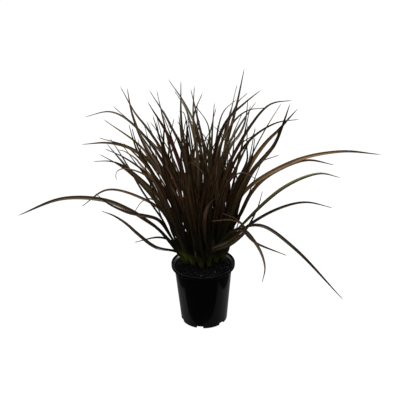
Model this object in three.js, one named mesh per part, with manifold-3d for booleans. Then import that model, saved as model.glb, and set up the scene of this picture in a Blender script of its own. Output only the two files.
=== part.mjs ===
// A dwarf New Zealand flax in a round black nursery pot. The plant is a clump of leafy
// fans that stand in the potting mix. Each fan is one growth: a flattened sheath with
// narrow, keeled sword leaves, which stand up or arch over.
// Millimetres, +Z up. The origin is on the pot's axis at the floor, and -Y is the front.

import * as THREE from 'three';
import { mergeVertices } from 'three/addons/utils/BufferGeometryUtils.js';
import Module from 'manifold-3d';

const wasm = await Module();
wasm.setup();

// Pot: a common 140 mm nursery pot
const POT_HEIGHT = 140;
const RIM_RADIUS = 70;
const RIM_DEPTH = 7.5;
const NECK_RADIUS = 63.3;
const BASE_RADIUS = 51.5;
const RIM_EDGE = 0.7;
const RIM_LEDGE = 1;
const RIM_LEDGE_SLOPE = 1.6;
const WALL = 1.5;
const FOOT_HEIGHT = 5.5;
const FOOT_WIDTH = 5;
const FOOT_EDGE = 1.3;
const MIDDLE_PAD_RADIUS = 20;
const MIDDLE_PAD_SLOPE = 3;
const DRAFT = 1;
const POT_SIDES = 36;
const NOTCH_COUNT = 6;
const NOTCH_WIDTH = 15;
const FIRST_NOTCH_DEG = -101.5;
const DRAIN_RADIUS = 4.5;
const DRAIN_RING_RADIUS = 34;
const DRAIN_SIDES = 12;

// Potting mix
const SOIL_TOP = 133;
const SOIL_EDGE_DROP = 1.2;
const SOIL_RINGS = 6;
const SOIL_SIDES = 24;
const LUMP_HEIGHT = 0.9;
const COARSE_LUMP = 4.1;
const FINE_LUMP = 2.9;
const FINE_LUMP_SHARE = 0.6;
const CROWN_RISE = 2.2;
const CROWN_BETWEEN = [10, 55];
const FIT_GAP = 0.3;

// Sheaths of the fans
const SHEATH_DEPTH = 22;
const SHEATH_HEIGHT = 44;
const SHEATH_WIDTH = 16;
const SHEATH_THICKNESS = 6.8;
const SHEATH_TAPER = 0.45;
const SHEATH_NOSE = 0.55;
const SHEATH_SIDES = 6;
const SHEATH_STEPS = 6;
const CLUMP_CENTRE = [8, 13];
const LEAN_PER_MM = 0.48;

// Leaves
const LEAVES_PER_FAN = 9;
const FEWEST_FILL_LEAVES = 3;
const FEWEST_BLADE_STEPS = 4;
const MOST_BLADE_STEPS = 10;
const TURN_PER_STEP_DEG = 22;
const SPINE_STEPS = 24;
const BLADE_THICKNESS = 1.3;
const TIP_THINNING = 0.4;
const ROOT_WIDTH_SHARE = 0.48;
const FULL_WIDTH_ALONG = 0.4;
const TIP_TAPER_START = 3;
const TIP_TAPER_POWER = 0.8;
const LEAST_TAPER = 0.004;
const ROOT_FOLD_DEG = 14;
const BLADE_FOLD_DEG = 24;
const STACK_SPACING = 1.83;
const STACK_ROOT_SHARE = 0.6;
const LEAF_START_LEVEL = 5;
const STACK_END_LEVELS = [46, 24];
const MOST_TWIST_DEG = 110;
const SEEN_FACING = [0.65, 1];
const FILL_FACING = [-0.2, 1];
const OUTWARD_POWER = 1.4;
const LOOSE_BETWEEN = [38, 95];

// Leaves that fill the clump, and how far from upright they may end
const FILL_LENGTHS = [215, 310];
const FILL_WIDTHS = [7, 10.5];
const FILL_STEPS = 8;
const FILL_SWING_DEG = 28;
const BACK_STRETCH = 1.3;
const LEAST_TILT_SHARE = 0.7;
const LEAST_TILT_DEG = 6;
const LEFT_TILT_DEG = 46;
const RIGHT_TILT_DEG = 36;
const FRONT_TILT_DEG = 30;
const BACK_TILT_DEG = 82;
const TILT_POWER = 1.5;

// Room between leaves of different fans
const LEAF_GAP = 1.5;
const CLEARING_ROUNDS = 110;
const ROUNDS_PER_SEARCH = 8;
const NEIGHBOUR_REACH = 12;
const SMOOTHING = 0.35;
const SEEN_GIVE = 0.25;
const FILL_GIVE = 1;
const PUSH_SHARE = 0.5;
const JOINED_BELOW = 0.1;
const LEAST_LOOSE = 1e-3;
const RIM_CLEARANCE = 4;
const SOIL_CLEARANCE = 5;

// The view in which the leaves' courses were read: the eye's distance from the middle of
// the rim, and how steeply it looks down
const EYE_DISTANCE = 1800;
const EYE_ELEVATION_DEG = 29.4;

// Where each fan stands in the mix (across, away), and how its two ranks are turned
const FANS = [
  { at: [-37, 8], turn: 172 },
  { at: [-31, 26], turn: 150 },
  { at: [-17, 42], turn: 126 },
  { at: [1, 46], turn: 82 },
  { at: [20, 45], turn: 56 },
  { at: [34, 34], turn: 38 },
  { at: [43, 19], turn: 12 },
  { at: [27, 6], turn: -26 },
  { at: [12, -8], turn: 16 },
  { at: [-3, -14], turn: 167 },
  { at: [-20, -3], turn: 24 },
  { at: [-17, 14], turn: 162 },
  { at: [26, 22], turn: 118 },
  { at: [-5, 27], turn: 156 },
  { at: [12, 30], turn: 14 },
  { at: [4, 8], turn: 4 },
];

// The leaves that can be told apart: the fan they grow from, how far away their tip is,
// their width, and the points that they pass as seen from the front, up to the tip. Each
// point is [across, up] from the middle of the rim, at true size.
const SEEN_LEAVES = [
  {
    fan: 1, away: 20, width: 12,
    seen: [[-98, 72], [-126, 95], [-153, 113], [-214, 140], [-309, 146], [-409, 110]],
  },
  {
    fan: 1, away: -20, width: 9,
    seen: [[-93, 93], [-126, 105], [-155, 110], [-177, 118], [-208, 134], [-236, 157]],
  },
  { fan: 1, away: 70, width: 9, seen: [[-105, 35], [-142, 64], [-168, 88], [-195, 106], [-223, 117]] },
  { fan: 1, away: -40, width: 6, seen: [[-68, 50], [-98, 57], [-151, 46]] },
  { fan: 1, away: 0, width: 9.5, seen: [[-75, 105], [-162, 207], [-198, 226], [-242, 227]] },
  { fan: 1, away: 40, width: 10.5, seen: [[-82, 109], [-162, 209], [-210, 268]] },
  { fan: 1, away: 60, width: 10.5, seen: [[-66, 160], [-124, 260], [-152, 334], [-162, 393]] },
  { fan: 2, away: 120, width: 7.5, seen: [[-82, 109], [-137, 146], [-207, 164], [-267, 127]] },
  { fan: 2, away: 70, width: 7, seen: [[-82, 121], [-169, 209], [-226, 244]] },
  { fan: 2, away: 95, width: 10, seen: [[-81, 183], [-146, 249], [-202, 268], [-266, 266]] },
  { fan: 2, away: 135, width: 8, seen: [[-81, 187], [-146, 251], [-228, 281]] },
  { fan: 2, away: 170, width: 6, seen: [[-73, 216], [-134, 293], [-194, 351]] },
  {
    fan: 2, away: 100, width: 7,
    seen: [[-109, 188], [-134, 217], [-146, 232], [-160, 242], [-172, 249], [-186, 252]],
  },
  { fan: 3, away: 160, width: 7.5, seen: [[-70, 160], [-128, 253], [-216, 322]] },
  { fan: 3, away: 190, width: 7.5, seen: [[-80, 221], [-145, 307], [-196, 338], [-257, 328]] },
  {
    fan: 3, away: 150, width: 8,
    seen: [[-65, 205], [-97, 265], [-123, 305], [-143, 331], [-157, 356], [-178, 397]],
  },
  { fan: 3, away: 110, width: 7, seen: [[-59, 171], [-95, 255], [-121, 316]] },
  { fan: 3, away: 120, width: 9, seen: [[-31, 215], [-72, 315], [-113, 386]] },
  { fan: 3, away: 140, width: 7, seen: [[-33, 215], [-63, 301], [-82, 340]] },
  { fan: 4, away: 170, width: 8, seen: [[-1, 270], [-29, 345], [-70, 410]] },
  { fan: 4, away: 200, width: 7.5, seen: [[-9, 237], [-29, 334], [-57, 384]] },
  { fan: 4, away: 150, width: 9, seen: [[11, 225], [-7, 327], [-20, 388]] },
  { fan: 5, away: 150, width: 6, seen: [[33, 225], [51, 328], [83, 360]] },
  { fan: 5, away: 130, width: 9.5, seen: [[46, 213], [81, 341], [102, 431]] },
  { fan: 5, away: 180, width: 6, seen: [[43, 247], [81, 347], [108, 375]] },
  { fan: 5, away: 160, width: 10.5, seen: [[55, 237], [68, 262], [84, 280], [99, 311], [107, 360]] },
  { fan: 6, away: 120, width: 9, seen: [[47, 225], [79, 286], [102, 321], [127, 355]] },
  {
    fan: 6, away: 90, width: 9.5,
    seen: [[55, 191], [91, 266], [117, 306], [141, 335], [163, 350], [208, 355]],
  },
  { fan: 6, away: 60, width: 8, seen: [[61, 191], [110, 268], [169, 305], [222, 312]] },
  { fan: 6, away: 110, width: 7, seen: [[54, 180], [83, 253], [126, 283]] },
  { fan: 6, away: 80, width: 10, seen: [[84, 102], [111, 152], [148, 187], [231, 220], [297, 208]] },
  { fan: 6, away: 40, width: 6, seen: [[83, 57], [121, 112], [135, 155]] },
  {
    fan: 7, away: 20, width: 12.5,
    seen: [[71, 133], [105, 210], [145, 263], [176, 292], [200, 318], [220, 338]],
  },
  {
    fan: 7, away: -10, width: 12.5,
    seen: [[71, 128], [106, 197], [137, 230], [160, 255], [176, 285], [202, 351]],
  },
  { fan: 7, away: 30, width: 11, seen: [[80, 139], [197, 215], [309, 238], [402, 229]] },
  { fan: 7, away: -20, width: 8, seen: [[89, 68], [161, 111], [228, 127], [289, 113]] },
  { fan: 7, away: 60, width: 10, seen: [[65, 135], [86, 184], [102, 210], [117, 232]] },
  { fan: 8, away: 10, width: 10, seen: [[62, 129], [83, 179], [103, 210], [123, 240]] },
  {
    fan: 8, away: -60, width: 9.5,
    seen: [[69, 120], [101, 183], [129, 215], [151, 240], [166, 264], [176, 294]],
  },
  { fan: 8, away: -50, width: 7.5, seen: [[80, 135], [122, 212], [176, 234]] },
  { fan: 8, away: -30, width: 7.5, seen: [[73, 135], [113, 223], [122, 275]] },
  { fan: 8, away: -64, width: 11, seen: [[83, 73], [185, 162], [263, 190], [309, 179]] },
  { fan: 8, away: -110, width: 9, seen: [[89, 71], [132, 76], [203, 24], [306, -90]] },
  { fan: 8, away: -130, width: 9, seen: [[87, 71], [122, 32], [136, -12], [128, -49]] },
  { fan: 9, away: -120, width: 7.5, seen: [[83, 71], [117, 41], [185, 10]] },
  { fan: 9, away: -90, width: 8, seen: [[60, 42], [92, 70], [66, 90], [17, 89]] },
  { fan: 9, away: -70, width: 7, seen: [[62, 47], [90, 75], [75, 92], [44, 106]] },
  { fan: 9, away: -110, width: 10.5, seen: [[1, 59], [11, 119], [43, 150]] },
  { fan: 10, away: -60, width: 10, seen: [[-19, 159], [-30, 260], [-29, 320]] },
  { fan: 10, away: -100, width: 7, seen: [[-31, 137], [-24, 219], [10, 190]] },
  {
    fan: 11, away: -60, width: 6,
    seen: [[-75, 105], [-99, 138], [-117, 143], [-133, 135], [-149, 112]],
  },
  {
    fan: 11, away: -90, width: 7.5,
    seen: [[-101, 170], [-127, 195], [-150, 206], [-169, 210], [-185, 207], [-190, 196], [-187, 184]],
  },
  {
    fan: 11, away: -50, width: 7,
    seen: [[-114, 193], [-139, 216], [-159, 229], [-176, 239], [-214, 256]],
  },
  {
    fan: 11, away: -40, width: 8,
    seen: [[-92, 154], [-116, 204], [-140, 242], [-152, 278], [-160, 311]],
  },
  {
    fan: 11, away: -70, width: 7,
    seen: [[-88, 150], [-109, 199], [-129, 233], [-143, 264], [-153, 302]],
  },
  { fan: 11, away: -60, width: 10.5, seen: [[-53, 104], [-82, 216], [-80, 319]] },
  { fan: 11, away: 30, width: 9.5, seen: [[-88, 120], [-140, 185], [-186, 238]] },
  { fan: 12, away: 70, width: 9.5, seen: [[-68, 140], [-120, 215], [-172, 268]] },
  { fan: 12, away: 60, width: 9, seen: [[-58, 150], [-105, 240], [-142, 300]] },
  { fan: 12, away: 40, width: 12, seen: [[-35, 159], [-68, 272], [-118, 361]] },
  { fan: 12, away: 20, width: 7.5, seen: [[-52, 160], [-88, 266], [-98, 315]] },
  { fan: 12, away: -20, width: 6, seen: [[-24, 226], [-33, 316], [-38, 334], [-50, 336]] },
  { fan: 12, away: 0, width: 7, seen: [[-27, 182], [-41, 267], [-47, 328]] },
  { fan: 13, away: 60, width: 9, seen: [[50, 150], [86, 230], [122, 292]] },
  { fan: 13, away: 0, width: 6, seen: [[28, 180], [48, 281], [29, 302]] },
  { fan: 13, away: 40, width: 10.5, seen: [[26, 214], [58, 310], [101, 352], [140, 382]] },
  {
    fan: 13, away: -30, width: 7.5,
    seen: [[31, 225], [52, 276], [70, 304], [89, 324], [112, 336], [152, 339]],
  },
  { fan: 13, away: 10, width: 7, seen: [[62, 135], [92, 192], [105, 223], [104, 255], [107, 304]] },
  { fan: 13, away: -50, width: 7, seen: [[45, 147], [86, 195], [128, 178]] },
  { fan: 14, away: 60, width: 9.5, seen: [[-42, 165], [-82, 250], [-106, 330]] },
  { fan: 14, away: 90, width: 9, seen: [[-25, 204], [-41, 305], [-41, 407]] },
  { fan: 14, away: 60, width: 8, seen: [[-7, 226], [-15, 322], [7, 378]] },
  { fan: 15, away: 110, width: 8, seen: [[9, 214], [-14, 320], [-11, 394]] },
  { fan: 15, away: 40, width: 6, seen: [[18, 225], [17, 304], [-11, 349]] },
  { fan: 15, away: 90, width: 8, seen: [[15, 181], [25, 292], [32, 355]] },
];

const degrees = THREE.MathUtils.degToRad;
const mix = THREE.MathUtils.lerp;
const ease = THREE.MathUtils.smoothstep;

// Seeded draws between 0 and 1
function makeDraw(seed) {
  let state = seed;
  return () => {
    state = (state * 16807) % 2147483647;
    return state / 2147483647;
  };
}

// A closed three.js geometry as a solid that can be joined and cut
function toSolid(geometry) {
  const bare = geometry.clone();
  bare.deleteAttribute('normal');
  bare.deleteAttribute('uv');
  const merged = mergeVertices(bare, 1e-4);
  return new wasm.Manifold(
    new wasm.Mesh({
      numProp: 3,
      vertProperties: new Float32Array(merged.attributes.position.array),
      triVerts: new Uint32Array(merged.index.array),
    }),
  );
}

function toGeometry(solid) {
  const mesh = solid.getMesh();
  const geometry = new THREE.BufferGeometry();
  geometry.setAttribute('position', new THREE.BufferAttribute(mesh.vertProperties, 3));
  geometry.setIndex(new THREE.BufferAttribute(mesh.triVerts, 1));
  geometry.computeVertexNormals();
  return geometry;
}

// A profile of [radius, height] points turned round the pot's axis
function turned(profile, sides) {
  const points = profile.map(([radius, height]) => new THREE.Vector2(radius, height));
  return new THREE.LatheGeometry(points, sides).rotateX(Math.PI / 2);
}

function moveVertices(geometry, place) {
  const position = geometry.attributes.position;
  const vertex = new THREE.Vector3();
  for (let i = 0; i < position.count; i += 1) {
    vertex.fromBufferAttribute(position, i);
    const moved = place(vertex);
    position.setXYZ(i, moved.x, moved.y, moved.z);
  }
  return geometry;
}

// Pot

function outerRadiusAt(height) {
  return mix(BASE_RADIUS, NECK_RADIUS, height / (POT_HEIGHT - RIM_DEPTH));
}

function potSolid() {
  const neck = POT_HEIGHT - RIM_DEPTH;
  const floorTop = FOOT_HEIGHT + WALL;
  const profile = [
    [0, 0],
    [MIDDLE_PAD_RADIUS, 0],
    [MIDDLE_PAD_RADIUS + MIDDLE_PAD_SLOPE, FOOT_HEIGHT],
    [BASE_RADIUS - FOOT_WIDTH - DRAFT, FOOT_HEIGHT],
    [BASE_RADIUS - FOOT_WIDTH, 0],
    [BASE_RADIUS - FOOT_EDGE, 0],
    [BASE_RADIUS, FOOT_EDGE],
    [NECK_RADIUS, neck],
    [RIM_RADIUS - 3 * RIM_EDGE, neck],
    [RIM_RADIUS - RIM_EDGE, neck + RIM_EDGE],
    [RIM_RADIUS, neck + 3 * RIM_EDGE],
    [RIM_RADIUS, POT_HEIGHT - RIM_EDGE],
    [RIM_RADIUS - RIM_EDGE, POT_HEIGHT],
    [RIM_RADIUS - WALL, POT_HEIGHT],
    [RIM_RADIUS - WALL - RIM_EDGE / 2, neck + RIM_LEDGE + RIM_LEDGE_SLOPE],
    [NECK_RADIUS - RIM_EDGE, neck + RIM_LEDGE],
    [NECK_RADIUS - WALL, neck - WALL],
    [outerRadiusAt(floorTop) - WALL, floorTop],
    [MIDDLE_PAD_RADIUS + MIDDLE_PAD_SLOPE - DRAFT, floorTop],
    [MIDDLE_PAD_RADIUS - DRAFT, WALL],
    [0, WALL],
  ];
  return toSolid(turned(profile, POT_SIDES));
}

// One of the arched gaps in the foot, which let water out under the pot
function notchSolid(angle) {
  const depth = 3 * FOOT_WIDTH;
  const shape = new THREE.Shape();
  shape.moveTo(-NOTCH_WIDTH / 2, -DRAFT);
  shape.lineTo(NOTCH_WIDTH / 2, -DRAFT);
  shape.lineTo(NOTCH_WIDTH / 2 - DRAFT, FOOT_HEIGHT);
  shape.lineTo(-NOTCH_WIDTH / 2 + DRAFT, FOOT_HEIGHT);
  shape.closePath();
  const geometry = new THREE.ExtrudeGeometry(shape, { depth, bevelEnabled: false });
  geometry.rotateX(Math.PI / 2);
  geometry.rotateZ(Math.PI / 2);
  geometry.translate(BASE_RADIUS - depth / 2, 0, 0);
  geometry.rotateZ(angle);
  return toSolid(geometry);
}

function drainSolid(angle) {
  const length = 4 * WALL;
  const hole = new THREE.CylinderGeometry(DRAIN_RADIUS, DRAIN_RADIUS, length, DRAIN_SIDES);
  hole.rotateX(Math.PI / 2);
  hole.translate(DRAIN_RING_RADIUS, 0, FOOT_HEIGHT);
  hole.rotateZ(angle);
  return toSolid(hole);
}

function buildPot() {
  let pot = potSolid();
  for (let i = 0; i < NOTCH_COUNT; i += 1) {
    const angle = degrees(FIRST_NOTCH_DEG) + (i * 2 * Math.PI) / NOTCH_COUNT;
    pot = pot.subtract(notchSolid(angle));
    pot = pot.subtract(drainSolid(angle + Math.PI / NOTCH_COUNT));
  }
  return toGeometry(pot);
}

// Fans: where they stand and which way they lean

function fanFrame(fan) {
  const [x, y] = fan.at;
  const outward = new THREE.Vector3(x - CLUMP_CENTRE[0], y - CLUMP_CENTRE[1], 0);
  const lean = degrees(outward.length() * LEAN_PER_MM);
  outward.normalize();
  const axis = new THREE.Vector3(0, 0, Math.cos(lean)).addScaledVector(outward, Math.sin(lean));
  const turn = degrees(fan.turn);
  const ranks = new THREE.Vector3(Math.cos(turn), Math.sin(turn), 0);
  ranks.addScaledVector(axis, -ranks.dot(axis)).normalize();
  const flat = new THREE.Vector3().crossVectors(axis, ranks);
  return { foot: new THREE.Vector3(x, y, SOIL_TOP), axis, ranks, flat };
}

// The sheath's half width and half thickness, from its root (0) to where it ends (1)
function sheathSize(along) {
  const taper = 1 - SHEATH_TAPER * ease(along, 0.3, 1);
  const nose = 1 - SHEATH_NOSE * ease(along, 0.85, 1);
  return [(SHEATH_WIDTH / 2) * taper * nose, (SHEATH_THICKNESS / 2) * taper * nose];
}

function sheathGeometry(frame, grow) {
  const length = SHEATH_DEPTH + SHEATH_HEIGHT;
  const blank = new THREE.CylinderGeometry(1, 1, 1, SHEATH_SIDES, 2);
  return moveVertices(blank, (vertex) => {
    const along = vertex.y + 0.5;
    const [halfWidth, halfThickness] = sheathSize(along);
    const level = along * (length + 2 * grow) - SHEATH_DEPTH - grow;
    return frame.foot
      .clone()
      .addScaledVector(frame.axis, level)
      .addScaledVector(frame.ranks, vertex.x * (halfWidth + grow))
      .addScaledVector(frame.flat, -vertex.z * (halfThickness + grow));
  });
}

// Strands: the courses of leaves and sheaths, before they are given a body

const toEye = new THREE.Vector3(
  0,
  -Math.cos(degrees(EYE_ELEVATION_DEG)),
  Math.sin(degrees(EYE_ELEVATION_DEG)),
);

// The place that shows at [across, up] from the front and lies so far away
function placeSeen([across, up], away) {
  const elevation = degrees(EYE_ELEVATION_DEG);
  const eye = toEye.clone().multiplyScalar(EYE_DISTANCE);
  const onView = new THREE.Vector3(across, up * Math.sin(elevation), up * Math.cos(elevation));
  const sight = onView.sub(eye);
  const place = eye.addScaledVector(sight, (away - eye.y) / sight.y);
  place.z += POT_HEIGHT;
  return place;
}

// Evenly spaced points on a smooth curve through the given ones
function evenPoints(points) {
  const curve = new THREE.CatmullRomCurve3(points, false, 'centripetal');
  curve.arcLengthDivisions = 400;
  return curve.getSpacedPoints(SPINE_STEPS);
}

function bladeWidth(width, along) {
  const grow = mix(ROOT_WIDTH_SHARE, 1, ease(along, 0, FULL_WIDTH_ALONG));
  const taper = Math.max(1 - Math.pow(along, TIP_TAPER_START), LEAST_TAPER);
  return width * grow * Math.pow(taper, TIP_TAPER_POWER);
}

function bladeRise(width, along) {
  const fold = mix(ROOT_FOLD_DEG, BLADE_FOLD_DEG, ease(along, 0, FULL_WIDTH_ALONG));
  return (bladeWidth(width, along) / 2) * Math.tan(degrees(fold));
}

function bladeThickness(along) {
  return BLADE_THICKNESS * (1 - TIP_THINNING * along);
}

// How far a blade has twisted at its tip, to turn one of its faces to the front
function twistToFront(points, side, facing) {
  const middle = SPINE_STEPS / 2;
  const { sides, normals } = strandFrames({ points, side, twist: 0 });
  let turn = Math.atan2(toEye.dot(sides[middle]), toEye.dot(normals[middle]));
  if (Math.abs(turn) > Math.PI / 2) turn -= Math.sign(turn) * Math.PI;
  const most = degrees(MOST_TWIST_DEG);
  return THREE.MathUtils.clamp(2 * turn, -most, most) * facing;
}

function leafStrand(leaf, points) {
  const frame = fanFrame(FANS[leaf.fan]);
  const side = frame.flat.clone().multiplyScalar(leaf.place < 0 ? 1 : -1);
  return {
    fan: leaf.fan,
    points,
    rest: points.map((point) => point.clone()),
    width: leaf.width,
    give: leaf.give,
    twist: twistToFront(points, side, leaf.facing),
    side,
    halfWidths: points.map((_, i) => bladeWidth(leaf.width, i / SPINE_STEPS) / 2),
    halfDepths: points.map((_, i) => {
      const along = i / SPINE_STEPS;
      return (bladeRise(leaf.width, along) + bladeThickness(along)) / 2;
    }),
    looseness: points.map((point) => ease(point.distanceTo(frame.foot), ...LOOSE_BETWEEN)),
  };
}

function sheathStrand(fanIndex) {
  const frame = fanFrame(FANS[fanIndex]);
  const points = [];
  const halfWidths = [];
  const halfDepths = [];
  for (let i = 0; i <= SHEATH_STEPS; i += 1) {
    const along = i / SHEATH_STEPS;
    const [halfWidth, halfThickness] = sheathSize(along);
    const level = mix(-SHEATH_DEPTH, SHEATH_HEIGHT, along);
    points.push(frame.foot.clone().addScaledVector(frame.axis, level));
    halfWidths.push(halfWidth);
    halfDepths.push(halfThickness);
  }
  return {
    fan: fanIndex,
    points,
    rest: points.map((point) => point.clone()),
    give: 0,
    twist: 0,
    side: frame.ranks,
    halfWidths,
    halfDepths,
    looseness: points.map(() => 0),
  };
}

// The leaves that can be told apart, by the points that they pass
function seenLeaves(draw) {
  return SEEN_LEAVES.map(({ fan, away, width, seen }) => {
    const { foot } = fanFrame(FANS[fan - 1]);
    const course = seen.map((point, i) => {
      const share = Math.pow((i + 1) / seen.length, OUTWARD_POWER);
      return placeSeen(point, mix(foot.y, away, share));
    });
    const facing = mix(...SEEN_FACING, draw());
    return { fan: fan - 1, width, course, facing, give: SEEN_GIVE };
  });
}

// How far from upright a leaf may end: steep at the front and the right, low at the back
function mostTilt(away) {
  const sideTilt = away.x < 0 ? LEFT_TILT_DEG : RIGHT_TILT_DEG;
  const depthTilt = away.y < 0 ? FRONT_TILT_DEG : BACK_TILT_DEG;
  return mix(sideTilt, depthTilt, Math.pow(Math.abs(away.y), TILT_POWER));
}

// The other leaves fill the clump
function fillLeaves(draw) {
  const leaves = [];
  FANS.forEach((_, fanIndex) => {
    const frame = fanFrame(FANS[fanIndex]);
    const seenCount = SEEN_LEAVES.filter((leaf) => leaf.fan === fanIndex + 1).length;
    const count = Math.max(LEAVES_PER_FAN - seenCount, FEWEST_FILL_LEAVES);
    for (let i = 0; i < count; i += 1) {
      const rank = i % 2 === 0 ? 1 : -1;
      const age = (i + 0.5) / count;
      const swing = degrees(mix(-FILL_SWING_DEG, FILL_SWING_DEG, draw()));
      const away = frame.ranks.clone().multiplyScalar(rank);
      away.setZ(0).normalize().applyAxisAngle(new THREE.Vector3(0, 0, 1), swing);
      const tiltShare = age * mix(LEAST_TILT_SHARE, 1, draw());
      const tilt = degrees(mix(LEAST_TILT_DEG, mostTilt(away), tiltShare));
      const end = new THREE.Vector3(0, 0, Math.cos(tilt)).addScaledVector(away, Math.sin(tilt));
      const stretch = mix(1, BACK_STRETCH, age * Math.max(away.y, 0));
      const length = mix(...FILL_LENGTHS, draw()) * stretch;
      const width = mix(...FILL_WIDTHS, draw());
      const facing = mix(...FILL_FACING, draw());
      const course = [];
      let place = frame.foot.clone().addScaledVector(frame.axis, SHEATH_HEIGHT);
      for (let k = 1; k <= FILL_STEPS; k += 1) {
        const heading = frame.axis.clone().lerp(end, k / FILL_STEPS).normalize();
        place = place.clone().addScaledVector(heading, length / FILL_STEPS);
        course.push(place);
      }
      leaves.push({ fan: fanIndex, width, course, facing, give: FILL_GIVE });
    }
  });
  return leaves;
}

// In a fan the leaves are stacked in one row, in the order in which they lean. The outer
// ones leave the sheath lower down.
function stackLeaves(leaves) {
  return FANS.flatMap((fan, fanIndex) => {
    const frame = fanFrame(fan);
    const tipPlace = (leaf) => leaf.course[leaf.course.length - 1].dot(frame.ranks);
    const stack = leaves.filter((leaf) => leaf.fan === fanIndex);
    stack.sort((a, b) => tipPlace(a) - tipPlace(b));
    const middle = (stack.length - 1) / 2;
    return stack.map((leaf, i) => {
      const place = (i - middle) / middle;
      const out = (i - middle) * STACK_SPACING;
      const endLevel = mix(...STACK_END_LEVELS, Math.abs(place));
      const low = frame.foot.clone().addScaledVector(frame.axis, LEAF_START_LEVEL);
      low.addScaledVector(frame.ranks, out * STACK_ROOT_SHARE);
      const high = frame.foot.clone().addScaledVector(frame.axis, endLevel);
      high.addScaledVector(frame.ranks, out);
      return leafStrand({ ...leaf, place }, evenPoints([low, high, ...leaf.course]));
    });
  });
}

// Directions across (sides) and out of (normals) a strand, turning with its twist
function strandFrames(strand) {
  const last = strand.points.length - 1;
  const sides = [];
  const normals = [];
  const side = strand.side.clone();
  for (let i = 0; i <= last; i += 1) {
    const before = strand.points[Math.max(i - 1, 0)];
    const after = strand.points[Math.min(i + 1, last)];
    const heading = after.clone().sub(before).normalize();
    side.addScaledVector(heading, -side.dot(heading)).normalize();
    const angle = (strand.twist * i) / last;
    const turnedSide = side.clone().applyAxisAngle(heading, angle);
    sides.push(turnedSide);
    normals.push(new THREE.Vector3().crossVectors(turnedSide, heading));
  }
  return { sides, normals };
}

// Clearing: leaves of different fans are bent apart until they pass each other

// How far along each of two stretches their nearest points lie
function nearestShares(a0, a1, b0, b1) {
  const a = a1.clone().sub(a0);
  const b = b1.clone().sub(b0);
  const offset = a0.clone().sub(b0);
  const aa = a.dot(a);
  const bb = b.dot(b);
  const ab = a.dot(b);
  const ao = a.dot(offset);
  const bo = b.dot(offset);
  const spread = aa * bb - ab * ab;
  let s = spread > 1e-9 ? (ab * bo - bb * ao) / spread : 0.5;
  s = Math.min(Math.max(s, 0), 1);
  let t = (ab * s + bo) / bb;
  t = Math.min(Math.max(t, 0), 1);
  s = Math.min(Math.max((ab * t - ao) / aa, 0), 1);
  return [s, t];
}

function stretches(strand) {
  return strand.points.slice(1).map((point, i) => {
    const middle = point.clone().add(strand.points[i]).multiplyScalar(0.5);
    return { middle, half: point.distanceTo(strand.points[i]) / 2, loose: strand.looseness[i] };
  });
}

// Pairs of stretches that may touch. Leaves of one fan are joined where they leave it.
function findNeighbours(strands) {
  const pairs = [];
  const rows = strands.map(stretches);
  const boxes = strands.map((strand) =>
    new THREE.Box3().setFromPoints(strand.points).expandByScalar(NEIGHBOUR_REACH / 2),
  );
  for (let a = 0; a < strands.length; a += 1) {
    for (let b = a + 1; b < strands.length; b += 1) {
      if (!boxes[a].intersectsBox(boxes[b])) continue;
      const isOneFan = strands[a].fan === strands[b].fan;
      rows[a].forEach((onA, i) => {
        rows[b].forEach((onB, j) => {
          const isJoined = isOneFan && Math.min(onA.loose, onB.loose) < JOINED_BELOW;
          const reach = onA.half + onB.half + NEIGHBOUR_REACH;
          const isNear = onA.middle.distanceToSquared(onB.middle) < reach * reach;
          if (isNear && !isJoined) pairs.push([a, i, b, j]);
        });
      });
    }
  }
  return pairs;
}

// How far a strand's section reaches from its middle in a direction
function extent(strand, frames, i, share, direction) {
  const halfWidth = mix(strand.halfWidths[i], strand.halfWidths[i + 1], share);
  const halfDepth = mix(strand.halfDepths[i], strand.halfDepths[i + 1], share);
  const across = mix(direction.dot(frames.sides[i]), direction.dot(frames.sides[i + 1]), share);
  const out = mix(direction.dot(frames.normals[i]), direction.dot(frames.normals[i + 1]), share);
  return halfWidth * Math.abs(across) + halfDepth * Math.abs(out);
}

function pushApart(strands, frames, pushes, [a, i, b, j]) {
  const strandA = strands[a];
  const strandB = strands[b];
  const [s, t] = nearestShares(
    strandA.points[i],
    strandA.points[i + 1],
    strandB.points[j],
    strandB.points[j + 1],
  );
  const onA = strandA.points[i].clone().lerp(strandA.points[i + 1], s);
  const onB = strandB.points[j].clone().lerp(strandB.points[j + 1], t);
  const direction = onA.sub(onB);
  const distance = direction.length();
  direction.multiplyScalar(1 / Math.max(distance, 1e-6));
  const wanted =
    extent(strandA, frames[a], i, s, direction) +
    extent(strandB, frames[b], j, t, direction) +
    LEAF_GAP;
  if (distance >= wanted) return 0;
  const looseA = strandA.give * mix(strandA.looseness[i], strandA.looseness[i + 1], s);
  const looseB = strandB.give * mix(strandB.looseness[j], strandB.looseness[j + 1], t);
  const loose = looseA + looseB;
  if (loose < LEAST_LOOSE) return 0;
  const step = (PUSH_SHARE * (wanted - distance)) / loose;
  pushes[a][i].addScaledVector(direction, step * looseA * (1 - s));
  pushes[a][i + 1].addScaledVector(direction, step * looseA * s);
  pushes[b][j].addScaledVector(direction, -step * looseB * (1 - t));
  pushes[b][j + 1].addScaledVector(direction, -step * looseB * t);
  return 1;
}

// The lowest that a leaf may lie: above the mix inside the pot, and clear of the rim
function lowestAt(point) {
  const radius = Math.hypot(point.x, point.y);
  const margin = 2 * RIM_CLEARANCE;
  if (radius > RIM_RADIUS + margin) return -Infinity;
  return radius > NECK_RADIUS - margin ? POT_HEIGHT + RIM_CLEARANCE : SOIL_TOP + SOIL_CLEARANCE;
}

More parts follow.
